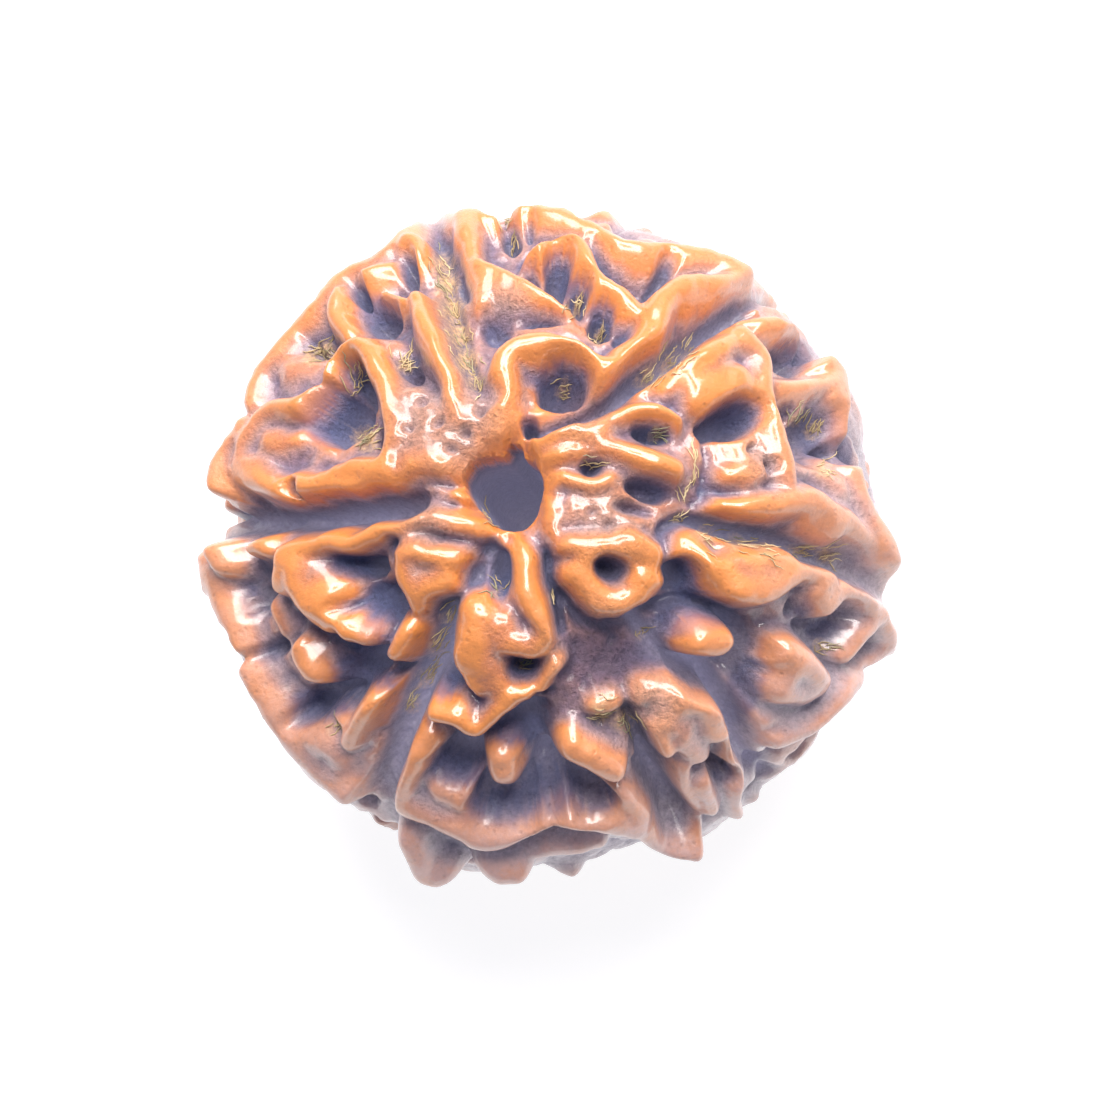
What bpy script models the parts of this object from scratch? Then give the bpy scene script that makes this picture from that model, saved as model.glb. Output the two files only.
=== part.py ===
# Five mukhi rudraksha: the woody stone of the fruit, one piece with a hole from pole to pole.
# The hole runs along Z, and the bead rests on a small flat spot round the hole's lower mouth.
# Tables are in millimetres and in pixels of the 1100 x 1100 photograph; the mesh is in metres.
import math

import bmesh
import bpy
import numpy as np
from mathutils import Matrix

MM = 0.001

# Driving dimensions, in millimetres
SPHEROID_RADIUS = 10.0      # level 0 of the relief, across the bead
SPHEROID_HEIGHT = 8.0       # level 0 of the relief, from the middle to a pole
REST_DEPTH = 8.1            # the flat spot that it rests on, below the middle
FLAT_GAP = 0.06             # what is this near the resting plane is taken to it
SKIN_LEVEL = -0.15          # the skin between the ridges
MOUTH_DIMPLE = 0.25         # how far the skin sinks at the hole's two mouths
DIMPLE_REACH = 2.2
MOUTH_LEVEL = -0.5          # the level at which the mouth's outline is measured
LIP_DROP = 0.35             # how far the lip of a mouth is rounded down
LIP_REACH = 0.25
LOWER_HOLE_RADIUS = 1.1
BORE_WAIST = 0.85           # the bore's width half way through, against its mouths
AXIS_PLACE = (-0.2, 0.0)    # where the hole's axis stands, from the middle of the bead's outline

# How finely the surface is made
ICOSPHERE_SUBDIVISIONS = 7
SMOOTHING_PASSES = 2
TRIANGLES = 6500
BORE_SIDES = 28
BORE_CUTS = (-7.0, -4.0, 0.0, 4.0, 6.0)     # heights at which the bore has a ring of points
BORE_REACH = 12.0           # half the length of the bore's cutter

# The photograph's view of the bead
PIXELS_PER_MM = 31.8
PHOTO_MIDDLE = 550
BEAD_PIXEL = (549, 545)     # the middle of the bead
VIEW_DISTANCE = 160.0
VIEW_TILT = 17.0            # degrees between the view and the hole
VIEW_TURN = -49.5           # degrees from +X to the side that the view leans to
UNSEEN = 0.08               # cosine to the view below which the photograph shows little
SLANTED = 0.33              # cosine below which it shows the skin only at a slant

# Upper mouth of the hole, pixels anticlockwise from its left corner
MOUTH = [(465, 478), (472, 497), (484, 512), (500, 529), (516, 535), (533, 526), (543, 506),
         (546, 482), (538, 468), (526, 460), (523, 446), (511, 446), (506, 459), (488, 460), (473, 466)]

# The clefts between the faces: half width, then pixels with the level of the cleft's floor
CLEFTS = {
    "left": (0.56, [(452, 497, 0.5), (425, 497, 0.0), (395, 500, -1.0), (350, 508, -1.7),
                    (300, 514, -1.6), (265, 521, -1.1), (235, 522, -0.9), (208, 513, -0.8)]),
    "upper left": (0.44, [(487, 400, 0.3), (470, 365, -0.2), (458, 335, -0.4), (450, 300, -0.6),
                          (443, 268, -0.6), (439, 240, 0.0), (431, 217, 0.42)]),
    "upper right": (0.42, [(540, 425, -0.2), (570, 414, -0.5), (610, 392, -0.9), (653, 362, -1.4),
                           (696, 327, -1.7), (722, 311, -1.5), (748, 298, -0.8), (770, 288, -0.1)]),
    "right": (0.48, [(672, 528, -0.4), (705, 520, -0.8), (760, 534, -1.7), (800, 545, -1.7),
                     (828, 556, -0.9), (855, 572, -0.4), (880, 591, 0.35), (893, 602, 0.65)]),
    "lower left": (0.66, [(500, 545, 0.0), (480, 560, -0.5), (455, 600, -1.4), (432, 650, -1.8),
                         (405, 700, -1.9), (388, 745, -1.6), (378, 785, -1.0), (380, 815, -0.3),
                         (383, 837, 0.15)]),
}
# A fold in the widest face, which dies out below
FOLD = (0.6, [(640, 625, -1.0), (690, 672, -1.5), (730, 688, -1.8), (746, 725, -1.6),
              (758, 765, -1.2), (778, 785, -0.9), (812, 822, -0.6)])

# Broad rises and hollows of the skin under the ridges: pixel, reach, rise
GROUND = [
    (430, 430, 1.7, 0.55), (500, 420, 1.3, 0.5), (590, 490, 2.0, 0.6), (620, 410, 1.2, 0.3),
    (440, 540, 1.3, 0.35), (520, 590, 1.2, 0.3), (735, 375, 1.5, 0.7), (750, 460, 1.5, 0.5),
    (830, 505, 1.3, 0.5), (520, 285, 1.2, 0.4), (540, 225, 1.2, 0.3), (300, 380, 1.2, 0.4),
    (280, 445, 1.2, 0.5), (300, 590, 1.3, 0.5), (330, 760, 1.3, 0.5), (470, 820, 1.8, 0.4),
    (700, 720, 1.2, 0.5), (765, 590, 1.2, 0.4),
    (385, 610, 1.0, -0.8), (360, 670, 1.2, -0.7), (690, 640, 1.9, -0.9), (760, 660, 1.2, -0.6),
    (600, 650, 1.3, -0.4), (440, 680, 0.9, -0.6), (520, 725, 1.0, -0.7), (510, 780, 1.9, -0.8),
    (820, 640, 1.0, -0.5), (560, 270, 0.9, -0.5), (635, 275, 0.9, -0.5), (565, 884, 1.6, -0.6),
    (612, 872, 1.5, -0.6), (608, 222, 1.3, -0.5), (880, 482, 1.0, -0.3),
]

# Ridges, knobs and swellings: half width, then pixels with the level of the crest
RIDGES = {
    "upper left face": [
        (0.40, [(232, 452, 0.95), (240, 430, 0.95), (258, 411, 0.9), (285, 398, 0.85),
                (315, 386, 0.8), (328, 362, 0.8), (346, 338, 0.95), (364, 346, 0.95),
                (378, 372, 0.85), (386, 405, 0.8), (391, 437, 0.75), (378, 463, 0.7),
                (345, 464, 0.7), (318, 475, 0.65), (292, 484, 0.7), (255, 474, 0.85),
                (232, 452, 0.95)]),
        (0.42, [(226, 470, 0.95), (255, 481, 0.85), (300, 489, 0.7), (350, 482, 0.6),
                (395, 468, 0.55), (440, 460, 0.45)]),
        (0.70, [(262, 440, 0.75), (285, 440, 0.5)]),
        (0.35, [(203, 490, 1.35), (205, 470, 1.3), (216, 448, 1.05), (230, 424, 1.0)]),
        (0.45, [(243, 400, 0.85), (252, 370, 0.8), (272, 345, 0.75), (292, 325, 0.7),
                (315, 295, 0.8), (340, 268, 0.8), (372, 255, 0.75), (395, 236, 0.8)]),
        (0.38, [(343, 330, 0.6), (330, 308, 0.85), (333, 285, 0.95), (350, 272, 0.95),
                (372, 264, 0.85), (395, 262, 0.6)]),
        (0.50, [(280, 350, 0.45), (285, 372, 0.4)]),
        (0.28, [(377, 288, 0.7), (401, 296, 0.65)]),
        (0.40, [(405, 232, 1.0), (404, 248, 0.95)]),
        (0.50, [(405, 226, 0.9), (431, 214, 0.5), (460, 212, 0.8)]),
        (0.34, [(411, 289, 0.85), (420, 315, 0.95), (432, 342, 1.0), (443, 370, 0.9),
                (450, 398, 0.75), (455, 420, 0.55)]),
        (0.50, [(372, 340, 0.6), (392, 345, 0.35)]),
        (0.90, [(405, 400, 0.5), (440, 425, 0.45), (470, 425, 0.4)]),
        (0.60, [(400, 430, 0.5), (430, 445, 0.5), (470, 448, 0.4)]),
        (0.45, [(405, 458, 0.55), (440, 462, 0.5), (462, 466, 0.35)]),
        (0.30, [(425, 495, 0.3), (462, 492, 0.3)]),
    ],
    "top face": [
        (0.36, [(463, 212, 0.85), (468, 235, 0.8), (474, 258, 0.65), (480, 282, 0.6),
                (487, 303, 0.5)]),
        (0.36, [(480, 258, 0.75), (505, 272, 0.7), (530, 281, 0.65), (550, 293, 0.55),
                (562, 303, 0.4)]),
        (0.50, [(485, 278, 0.6), (510, 288, 0.55), (535, 294, 0.5)]),
        (0.50, [(462, 225, 0.9), (468, 208, 0.95), (490, 209, 0.75), (520, 205, 0.9),
                (550, 205, 0.95), (580, 216, 0.85), (605, 231, 0.8), (640, 243, 0.8),
                (690, 247, 0.85), (725, 253, 0.95), (750, 266, 1.0), (764, 284, 0.9)]),
        (0.40, [(533, 247, 0.75), (550, 236, 0.95), (570, 233, 1.0), (585, 249, 0.9),
                (603, 272, 0.85), (622, 290, 0.75), (640, 306, 0.6)]),
        (0.46, [(622, 350, 0.65), (645, 338, 0.8), (660, 315, 0.9), (672, 288, 1.0),
                (690, 276, 1.1), (715, 275, 1.0), (742, 274, 0.9), (760, 282, 0.7)]),
        (0.30, [(590, 232, 0.8), (618, 240, 0.85), (645, 246, 0.8)]),
        (0.50, [(497, 428, 0.45), (497, 400, 0.7), (500, 370, 0.9), (508, 345, 1.0),
                (528, 336, 1.05), (552, 337, 1.05), (575, 345, 1.0), (597, 358, 0.9),
                (622, 358, 0.85), (645, 343, 0.8)]),
        (0.35, [(470, 345, 0.1), (478, 375, 0.15)]),
    ],
    "right face": [
        (0.50, [(672, 385, 0.6), (685, 368, 0.9), (705, 350, 1.05), (728, 340, 1.05),
                (748, 335, 1.0)]),
        (0.45, [(745, 328, 1.0), (763, 345, 0.95), (770, 370, 0.9), (772, 400, 0.85),
                (781, 428, 0.85), (790, 455, 0.85), (795, 485, 0.8)]),
        (0.85, [(705, 378, 0.9), (745, 372, 0.95)]),
        (0.60, [(700, 395, 0.75), (755, 395, 0.8)]),
        (0.60, [(745, 445, 0.5), (755, 475, 0.6)]),
        (0.40, [(735, 472, 0.6), (765, 470, 0.65)]),
        (0.45, [(728, 507, 0.6), (755, 503, 0.8), (785, 503, 0.9), (820, 500, 0.95),
                (848, 513, 0.95), (872, 535, 0.9), (895, 565, 0.9)]),
        (0.70, [(815, 500, 0.85), (845, 520, 0.9)]),
        (0.42, [(764, 322, 0.8), (785, 318, 0.95), (806, 326, 1.0), (824, 343, 1.0),
                (836, 370, 0.8), (845, 405, 0.75), (848, 430, 0.7)]),
        (0.36, [(785, 385, 0.6), (812, 380, 0.75), (838, 378, 0.8)]),
        (0.45, [(812, 330, 0.9), (838, 352, 0.95), (848, 385, 0.8), (856, 430, 0.8),
                (861, 470, 0.8), (878, 512, 0.95), (896, 545, 1.2), (905, 574, 1.3),
                (903, 594, 1.2)]),
        (0.30, [(800, 470, 0.4), (825, 475, 0.45), (845, 485, 0.6)]),
        (0.30, [(640, 385, 0.1), (680, 358, 0.3), (715, 335, 0.4), (745, 322, 0.5)]),
    ],
    "lower right face": [
        (0.25, [(680, 530, 0.2), (715, 540, 0.3), (750, 553, 0.4), (790, 565, 0.5),
                (825, 570, 0.5)]),
        (0.42, [(690, 548, 0.5), (708, 560, 0.8), (728, 575, 0.95), (748, 592, 1.0)]),
        (0.50, [(740, 590, 1.0), (765, 590, 1.05), (792, 582, 0.95), (808, 572, 0.85)]),
        (0.42, [(815, 573, 0.8), (835, 580, 0.85), (842, 598, 0.75)]),
        (0.42, [(855, 588, 0.85), (878, 598, 0.95), (885, 618, 0.85), (868, 640, 0.75),
                (852, 658, 0.6)]),
        (0.40, [(892, 608, 0.95), (899, 632, 1.0), (897, 650, 0.95)]),
        (0.34, [(894, 645, 0.85), (884, 662, 0.8), (870, 678, 0.75), (860, 690, 0.95),
                (834, 718, 0.95), (792, 742, 0.7), (767, 756, 0.6)]),
        (0.55, [(798, 656, 0.9), (812, 668, 0.95), (822, 684, 0.85)]),
        (0.40, [(786, 668, 0.75), (773, 688, 0.7), (790, 700, 0.6)]),
        (0.46, [(697, 642, 0.75), (725, 644, 0.72)]),
        (0.50, [(760, 725, 0.2), (800, 715, 0.3), (840, 700, 0.4)]),
    ],
    "bottom face": [
        (0.55, [(690, 705, 0.9), (715, 712, 0.95), (720, 738, 0.8)]),
        (0.45, [(660, 735, 0.75), (668, 755, 0.8)]),
        (0.50, [(690, 745, 0.75), (700, 760, 0.6)]),
        (0.60, [(650, 700, 0.45), (675, 705, 0.6)]),
        (0.24, [(731, 705, 0.8), (736, 740, 0.75), (738, 780, 0.7), (740, 822, 0.65)]),
        (0.36, [(708, 790, 0.65), (716, 815, 0.6)]),
        (0.30, [(685, 770, 0.5), (690, 800, 0.5), (700, 830, 0.5)]),
        (0.50, [(572, 745, 0.85), (595, 755, 0.95), (615, 768, 0.9)]),
        (0.40, [(595, 710, 0.3), (615, 705, 0.3)]),
        (0.55, [(498, 764, 0.75), (504, 772, 0.75)]),
        (0.42, [(432, 716, 0.8), (450, 722, 0.9), (470, 733, 0.75)]),
        (0.42, [(475, 725, 0.6), (500, 712, 0.65), (525, 696, 0.65)]),
        (0.30, [(545, 690, 0.5), (558, 668, 0.6)]),
        (0.42, [(478, 585, 0.5), (465, 610, 0.8), (458, 640, 0.85), (462, 668, 0.75),
                (478, 690, 0.6)]),
        (0.42, [(505, 540, 0.4), (522, 560, 0.65), (528, 590, 0.85), (538, 615, 0.9),
                (548, 640, 0.85)]),
        (0.60, [(480, 630, 0.85), (500, 628, 0.7)]),
        (0.50, [(490, 670, 0.6), (500, 695, 0.6)]),
        (0.35, [(515, 640, 0.6), (545, 650, 0.6)]),
        (0.55, [(425, 745, 0.4), (412, 765, 0.7), (397, 790, 0.85), (398, 812, 0.85),
                (425, 825, 0.8), (455, 838, 0.85), (480, 850, 0.85), (510, 843, 0.85),
                (540, 828, 0.85), (575, 826, 0.85), (610, 832, 0.85), (635, 836, 0.8)]),
        (0.70, [(440, 800, 0.5), (480, 815, 0.55)]),
        (0.50, [(590, 810, 0.6), (620, 805, 0.65), (640, 820, 0.6)]),
        (0.40, [(640, 835, 0.7), (660, 848, 0.75), (682, 860, 1.1), (697, 864, 1.3)]),
        (0.50, [(402, 848, 1.0), (415, 872, 1.2), (424, 887, 1.3), (442, 884, 1.1)]),
        (0.42, [(482, 870, 0.8), (495, 884, 1.1), (514, 884, 1.1)]),
        (0.50, [(520, 862, 0.55), (560, 856, 0.45), (600, 848, 0.45)]),
    ],
    "lower left face": [
        (0.45, [(200, 549, 1.3), (209, 563, 1.15)]),
        (0.30, [(243, 546, 0.9), (258, 548, 0.85)]),
        (0.38, [(275, 556, 0.85), (300, 548, 0.75), (330, 542, 0.75), (360, 536, 0.75),
                (390, 524, 0.7), (420, 516, 0.65), (450, 520, 0.55), (478, 530, 0.45)]),
        (0.60, [(285, 570, 0.95), (295, 590, 0.9), (318, 605, 0.85)]),
        (0.45, [(300, 600, 0.9), (325, 618, 0.85), (345, 636, 0.75)]),
        (0.40, [(275, 560, 0.9), (272, 585, 0.85)]),
        (0.35, [(270, 610, 0.4), (280, 630, 0.3)]),
        (0.40, [(300, 650, 0.65), (305, 672, 0.7)]),
        (0.50, [(400, 548, 0.75), (420, 560, 0.75), (440, 558, 0.65)]),
        (0.42, [(400, 565, 0.75), (405, 585, 0.7), (415, 605, 0.5)]),
        (0.50, [(455, 560, 0.3), (450, 580, 0.1)]),
        (0.30, [(407, 625, 0.65), (398, 642, 0.7), (392, 655, 0.65)]),
        (0.50, [(203, 575, 0.95), (212, 605, 0.9), (225, 640, 0.9), (238, 675, 0.88),
                (258, 710, 0.88), (278, 738, 0.85), (300, 765, 0.85), (325, 788, 0.9),
                (350, 810, 1.05), (366, 824, 1.0)]),
        (0.35, [(195, 562, 1.0), (200, 590, 0.9)]),
        (0.35, [(385, 692, 0.4), (368, 708, 0.7), (356, 728, 0.75), (342, 748, 0.65)]),
        (0.60, [(300, 748, 0.7), (325, 755, 0.7), (335, 775, 0.65)]),
        (0.30, [(330, 720, 0.3), (345, 730, 0.4)]),
    ],
    "round the hole": [
        (0.36, [(540, 438, 0.6), (560, 430, 0.8), (585, 427, 0.85), (605, 424, 0.75)]),
        (0.36, [(545, 455, 0.6), (570, 450, 0.7), (595, 442, 0.6)]),
        (0.30, [(612, 418, 0.6), (635, 408, 0.75), (660, 408, 0.8), (680, 420, 0.7)]),
        (0.36, [(605, 440, 0.7), (630, 448, 0.8), (655, 455, 0.85), (680, 466, 0.75)]),
        (0.35, [(560, 478, 0.6), (585, 482, 0.65), (610, 475, 0.6)]),
        (0.70, [(575, 510, 0.5), (610, 515, 0.45), (640, 520, 0.4)]),
        (0.50, [(572, 543, 0.8), (600, 548, 0.95), (635, 546, 1.0), (658, 553, 0.9)]),
        (0.60, [(580, 575, 0.75), (600, 600, 0.7), (635, 600, 0.7), (655, 580, 0.8)]),
        (0.40, [(590, 560, 0.85), (640, 575, 0.8)]),
        (0.30, [(545, 470, 0.4), (552, 500, 0.5), (555, 525, 0.5), (562, 545, 0.5)]),
    ],
}

# Valleys and slits: half width, then pixels with the level of the floor
VALLEYS = [
    (0.20, [(226, 503, 0.2), (224, 472, 0.2), (230, 446, 0.3)]),
    (0.14, [(262, 392, 0.3), (285, 381, 0.2), (305, 374, 0.2)]),
    (0.30, [(590, 245, 0.2), (612, 265, -0.5), (635, 280, -0.9), (643, 292, -1.0)]),
    (0.25, [(643, 292, -1.0), (655, 275, -0.9), (668, 262, -0.6)]),
    (0.20, [(712, 440, -0.2), (713, 470, -0.4), (712, 500, -0.3)]),
    (0.50, [(660, 615, -1.2), (700, 612, -1.2), (740, 625, -1.5), (765, 640, -1.7),
            (750, 680, -1.8)]),
    (0.24, [(545, 545, -0.1), (552, 575, -0.8), (556, 610, -1.0), (565, 640, -0.9)]),
    (0.50, [(565, 600, -0.9), (590, 635, -0.9), (620, 650, -0.9), (610, 685, -0.8)]),
    (0.36, [(632, 722, -0.5), (642, 745, -1.2), (654, 780, -1.5), (668, 810, -1.1),
            (680, 830, -0.2)]),
]

# Pits: pixel, half width and half height in pixels, turn in degrees, level of the floor
PITS = [
    (353, 384, 16, 32, 8, -1.5), (333, 420, 36, 22, 18, -1.7), (378, 432, 8, 18, 0, -1.1),
    (325, 343, 13, 11, 0, -1.0), (309, 345, 7, 14, 0, -0.5), (376, 310, 21, 16, 0, -1.3),
    (357, 295, 12, 10, 0, -0.6), (409, 270, 9, 13, 0, -0.7), (407, 365, 12, 11, 0, -0.8),
    (298, 490, 4, 8, 0, -0.6), (459, 275, 7, 20, 4, -0.6), (462, 340, 19, 52, 14, -0.25),
    (510, 231, 10, 13, 0, -1.0), (527, 231, 6, 7, 0, -0.4), (515, 248, 6, 5, 0, -0.2),
    (529, 268, 13, 9, 0, -1.0), (556, 268, 15, 20, -20, -1.5), (576, 290, 19, 15, 0, -1.6),
    (602, 315, 14, 18, 0, -1.4), (621, 330, 9, 12, 0, -0.6), (562, 381, 32, 24, 0, -1.9),
    (540, 315, 32, 9, 0, -0.6), (492, 322, 24, 17, 0, -0.6),
    (735, 418, 27, 20, 15, -1.5), (712, 427, 10, 15, 0, -0.8), (795, 353, 22, 17, 0, -1.4),
    (820, 433, 28, 32, 0, -0.8), (789, 411, 9, 11, 30, -1.1), (843, 452, 11, 19, 0, -1.2),
    (815, 450, 14, 11, 0, -1.2),
    (686, 579, 17, 24, 0, -1.8), (822, 630, 19, 12, 0, -1.2), (805, 608, 11, 13, 0, -1.0),
    (498, 574, 14, 29, 0, -1.5), (523, 668, 19, 15, 0, -1.1), (443, 683, 21, 17, 0, -1.5),
    (520, 729, 30, 17, 18, -1.7), (460, 766, 30, 22, 0, -1.5), (548, 785, 34, 28, 0, -1.9),
    (500, 800, 42, 16, 0, -1.6), (592, 798, 24, 13, 0, -1.3), (714, 768, 12, 12, 30, -1.2),
    (395, 542, 12, 9, 0, -0.5), (355, 567, 27, 14, 0, -1.6), (386, 603, 21, 24, 0, -1.8),
    (373, 645, 20, 30, 0, -1.6), (347, 608, 11, 9, 0, -0.7), (252, 603, 11, 21, 0, -1.1),
    (267, 650, 18, 16, 0, -0.6), (320, 703, 38, 16, 0, -1.4), (304, 715, 16, 14, 0, -1.1),
    (355, 672, 26, 19, 0, -1.5),
    (589, 464, 14, 10, 20, -0.3), (655, 433, 26, 10, -10, -0.7), (656, 487, 33, 16, -10, -0.7),
    (640, 507, 35, 12, 0, -0.2), (610, 569, 19, 14, 0, -0.4), (530, 423, 10, 11, 0, -1.1),
]
PIT_RIM = 0.9               # the level at which a pit's half width is measured
SIDE_SLOPE = 3.0            # how steep a ridge is beyond its half width
WIDTH_TRIM = 0.92           # every ridge's half width is taken by this
CLEFT_LIPS = 0.45           # the level that clefts and valleys are traced at, between their lips

# The sides and the underside, which the photograph doesn't show
LOWER_CLEFTS = {"left": 180, "upper left": 108, "upper right": 36, "right": -36, "lower left": -108}
LOWER_CLEFT_LEVELS = (-1.6, -1.7, -1.6, -1.5, -1.3, -1.1, -0.9, -0.5)
LOWER_CLEFT_END = 168       # degrees from the upper pole
CLEFT_SWAY = 4.0            # degrees
STRAIGHT_SHARE = 0.25       # a cleft goes straight down under the outline for this share of its way
WEB_SEED = 5
WEB_SPACING = 1.95          # between the knobs that the ridges join
WEB_REACH = 1.6             # a ridge joins two knobs this many spacings apart or nearer
WEB_CHANCE = 0.55
WEB_TRIES = 6000
WEB_KNOB_GAP = 1.2          # where the skin is seen at a slant, knobs keep off the ridges there
WEB_BEND = 0.14             # how far a ridge bows, against its length
WEB_HALF_WIDTHS = (0.36, 0.58)
WEB_PIT_SPACING = 1.5
WEB_PIT_CLEARANCE = 0.6     # a pit is sunk this far or more from every ridge
WEB_PIT_RADIUS = 0.85
WEB_CREST_LOW = (0.45, 0.25, 0.45)  # lowest and highest level of a ridge at its ends and middle
WEB_CREST_HIGH = (1.0, 0.85, 1.0)
WEB_PIT_FLOORS = (-1.7, -0.9)
WEB_OFF_AXIS = 3.3          # ridges keep this far from the hole's axis
WEB_PIT_OFF_AXIS = 4.2
WEB_WOBBLE = 0.16           # how uneven the ridges and pits are there
WEB_RIM_DROP = 0.55         # how much lower its ridges are round the outline of the photograph
WEB_DROP_MIDDLE = 0.15      # cosine to the view at which they are lowest
WEB_DROP_REACH = 0.2
NO_LIPS = -9.0              # below every level, for what is traced on its crest
SPOT_STEPS = 6              # how often the swelling at a pixel is worked out again
REST_LIP = (2.35, 0.75, 0.75)   # ridge round the lower mouth: radius, half width, level
RIM_SWELL = 0.6             # how much fuller the bead is round the outline of the photograph
RIM_REACH = 0.3             # cosine to the view over which that fades


def view_axes():
    """Right, up and back of the photograph's view."""
    tilt, turn = math.radians(VIEW_TILT), math.radians(VIEW_TURN)
    back = np.array([math.sin(tilt) * math.cos(turn), math.sin(tilt) * math.sin(turn), math.cos(tilt)])
    up = np.array([0.0, 1.0, 0.0]) - back[1] * back
    up /= np.linalg.norm(up)
    return np.cross(up, back), up, back


RIGHT, UP, BACK = view_axes()


def on_skin(way):
    """The point of the level 0 spheroid in the direction of way, for one or for many."""
    across = (way[..., 0] ** 2 + way[..., 1] ** 2) / SPHEROID_RADIUS ** 2
    reach = 1.0 / np.sqrt(across + way[..., 2] ** 2 / SPHEROID_HEIGHT ** 2)
    return way * reach[..., None]


def rim_swell(ways):
    """How far the skin is swollen round the outline of the photograph."""
    return RIM_SWELL * np.exp(-(ways @ BACK / RIM_REACH) ** 2)


def spot(x, y, level):
    """The point of the skin that the photograph shows at pixel x, y when it stands at level."""
    offset_x = (PHOTO_MIDDLE - BEAD_PIXEL[0]) / PIXELS_PER_MM
    offset_y = (BEAD_PIXEL[1] - PHOTO_MIDDLE) / PIXELS_PER_MM
    across = (x - BEAD_PIXEL[0]) / PIXELS_PER_MM
    above = (BEAD_PIXEL[1] - y) / PIXELS_PER_MM
    eye = VIEW_DISTANCE * BACK + offset_x * RIGHT + offset_y * UP
    ray = across * RIGHT + above * UP - eye
    swell = 0.0
    for _ in range(SPOT_STEPS):
        size = np.array([SPHEROID_RADIUS, SPHEROID_RADIUS, SPHEROID_HEIGHT]) + level + swell
        start, step = eye / size, ray / size
        middle = -(start @ step) / (step @ step)
        spare = middle ** 2 - (start @ start - 1.0) / (step @ step)
        hit = eye + (middle - math.sqrt(max(spare, 0.0))) * ray
        way = hit / np.linalg.norm(hit)
        swell = (swell + rim_swell(way)) / 2
    return on_skin(way)


def smooth_line(knots, steps=3):
    """A Catmull-Rom curve through the knots, steps pieces to a span."""
    knots = np.array(knots, float)
    padded = np.vstack([2 * knots[0] - knots[1], knots, 2 * knots[-1] - knots[-2]])
    curve = []
    for a, b, c, d in zip(padded, padded[1:], padded[2:], padded[3:]):
        for t in np.arange(steps) / steps:
            curve.append(0.5 * (2 * b + (c - a) * t + (2 * a - 5 * b + 4 * c - d) * t ** 2
                                + (3 * b - a - 3 * c + d) * t ** 3))
    curve.append(knots[-1])
    return curve


def traced(knots, lowest=NO_LIPS):
    """Points of the skin and their levels, for knots given as pixel x, y and level."""
    curve = smooth_line(knots)
    line = np.array([spot(x, y, max(level, lowest)) for x, y, level in curve])
    return line, np.array([level for x, y, level in curve])


def off_line(points, line, levels):
    """How far each point is from the line, and the line's level there."""
    nearest = np.full(len(points), np.inf)
    level = np.zeros(len(points))
    for a, b, low, high in zip(line, line[1:], levels, levels[1:]):
        along = np.clip((points - a) @ (b - a) / ((b - a) @ (b - a)), 0.0, 1.0)
        gap = np.linalg.norm(points - a - along[:, None] * (b - a), axis=1)
        closer = gap < nearest
        nearest[closer] = gap[closer]
        level[closer] = (low + along * (high - low))[closer]
    return nearest, level


def around(points, line, reach):
    """Indices of the points within reach of the line's bounding ball."""
    middle = line.mean(axis=0)
    radius = np.linalg.norm(line - middle, axis=1).max() + reach
    return np.flatnonzero(np.linalg.norm(points - middle, axis=1) < radius)


def blend_up(a, b, soft):
    """The higher of the two, rounded where they meet."""
    return np.maximum(a, b) + np.maximum(soft - np.abs(a - b), 0.0) ** 2 / (4 * soft)


def blend_down(a, b, soft):
    """The lower of the two, rounded where they meet."""
    return -blend_up(-a, -b, soft)


def raise_ridge(points, height, half_width, line, levels):
    """A round crest whose sides steepen as they fall."""
    half_width = half_width * WIDTH_TRIM
    near = around(points, line, 3.0 * half_width + 0.6)
    gap, level = off_line(points[near], line, levels)
    q = gap / half_width
    fall = np.where(q < 1, 0.5 * q ** 2 + 0.5 * q ** 4, 1 + SIDE_SLOPE * (q - 1))
    height[near] = blend_up(height[near], level - half_width * fall, 0.35)


def sink_valley(points, height, half_width, line, levels):
    """A valley with a rounded floor and rounded lips."""
    near = around(points, line, 2.0 * half_width)
    gap, level = off_line(points[near], line, levels)
    floor = level + (PIT_RIM - level) * (gap / half_width) ** 2
    height[near] = blend_down(height[near], floor, 0.3)


def sink_pit(points, height, x, y, half_width, half_height, turn, level):
    """A pit with an oval mouth as the photograph shows it."""
    turn = math.radians(turn)
    middle = spot(x, y, 0.3)
    wide = spot(x + half_width * math.cos(turn), y - half_width * math.sin(turn), 0.3) - middle
    tall = spot(x + half_height * math.sin(turn), y + half_height * math.cos(turn), 0.3) - middle
    out = np.cross(wide, tall)
    near = around(points, np.array([middle, middle + wide, middle + tall]), 0.6)
    oval = np.linalg.solve(np.array([wide, tall, out]).T, (points[near] - middle).T)
    q = np.hypot(oval[0], oval[1])
    floor = level + (PIT_RIM - level) * q ** 3
    height[near] = blend_down(height[near], floor, 0.2)


def sink_hollow(points, height, middle, radius, level):
    """A round pit on a side that the photograph doesn't show."""
    near = around(points, middle[None], 1.6 * radius)
    q = np.linalg.norm(points[near] - middle, axis=1) / radius
    height[near] = blend_down(height[near], level + (PIT_RIM - level) * q ** 3, 0.2)


def ripple(points, wavelength, seed):
    """Smooth uneven waves of about the wavelength, with a spread of about 1."""
    rng = np.random.default_rng(seed)
    ways = rng.normal(size=(24, 3))
    ways /= np.linalg.norm(ways, axis=1)[:, None]
    ways *= (2 * math.pi / wavelength * rng.uniform(0.7, 1.4, 24))[:, None]
    starts = rng.uniform(0.0, 2 * math.pi, 24)
    return np.sin(points @ ways.T + starts).sum(axis=1) / math.sqrt(12)


def polar_point(azimuth, polar):
    """The point of the skin at an azimuth and a turn from the upper pole, in degrees."""
    azimuth, polar = math.radians(azimuth), math.radians(polar)
    return on_skin(np.array([math.sin(polar) * math.cos(azimuth), math.sin(polar) * math.sin(azimuth),
                             math.cos(polar)]))


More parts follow.
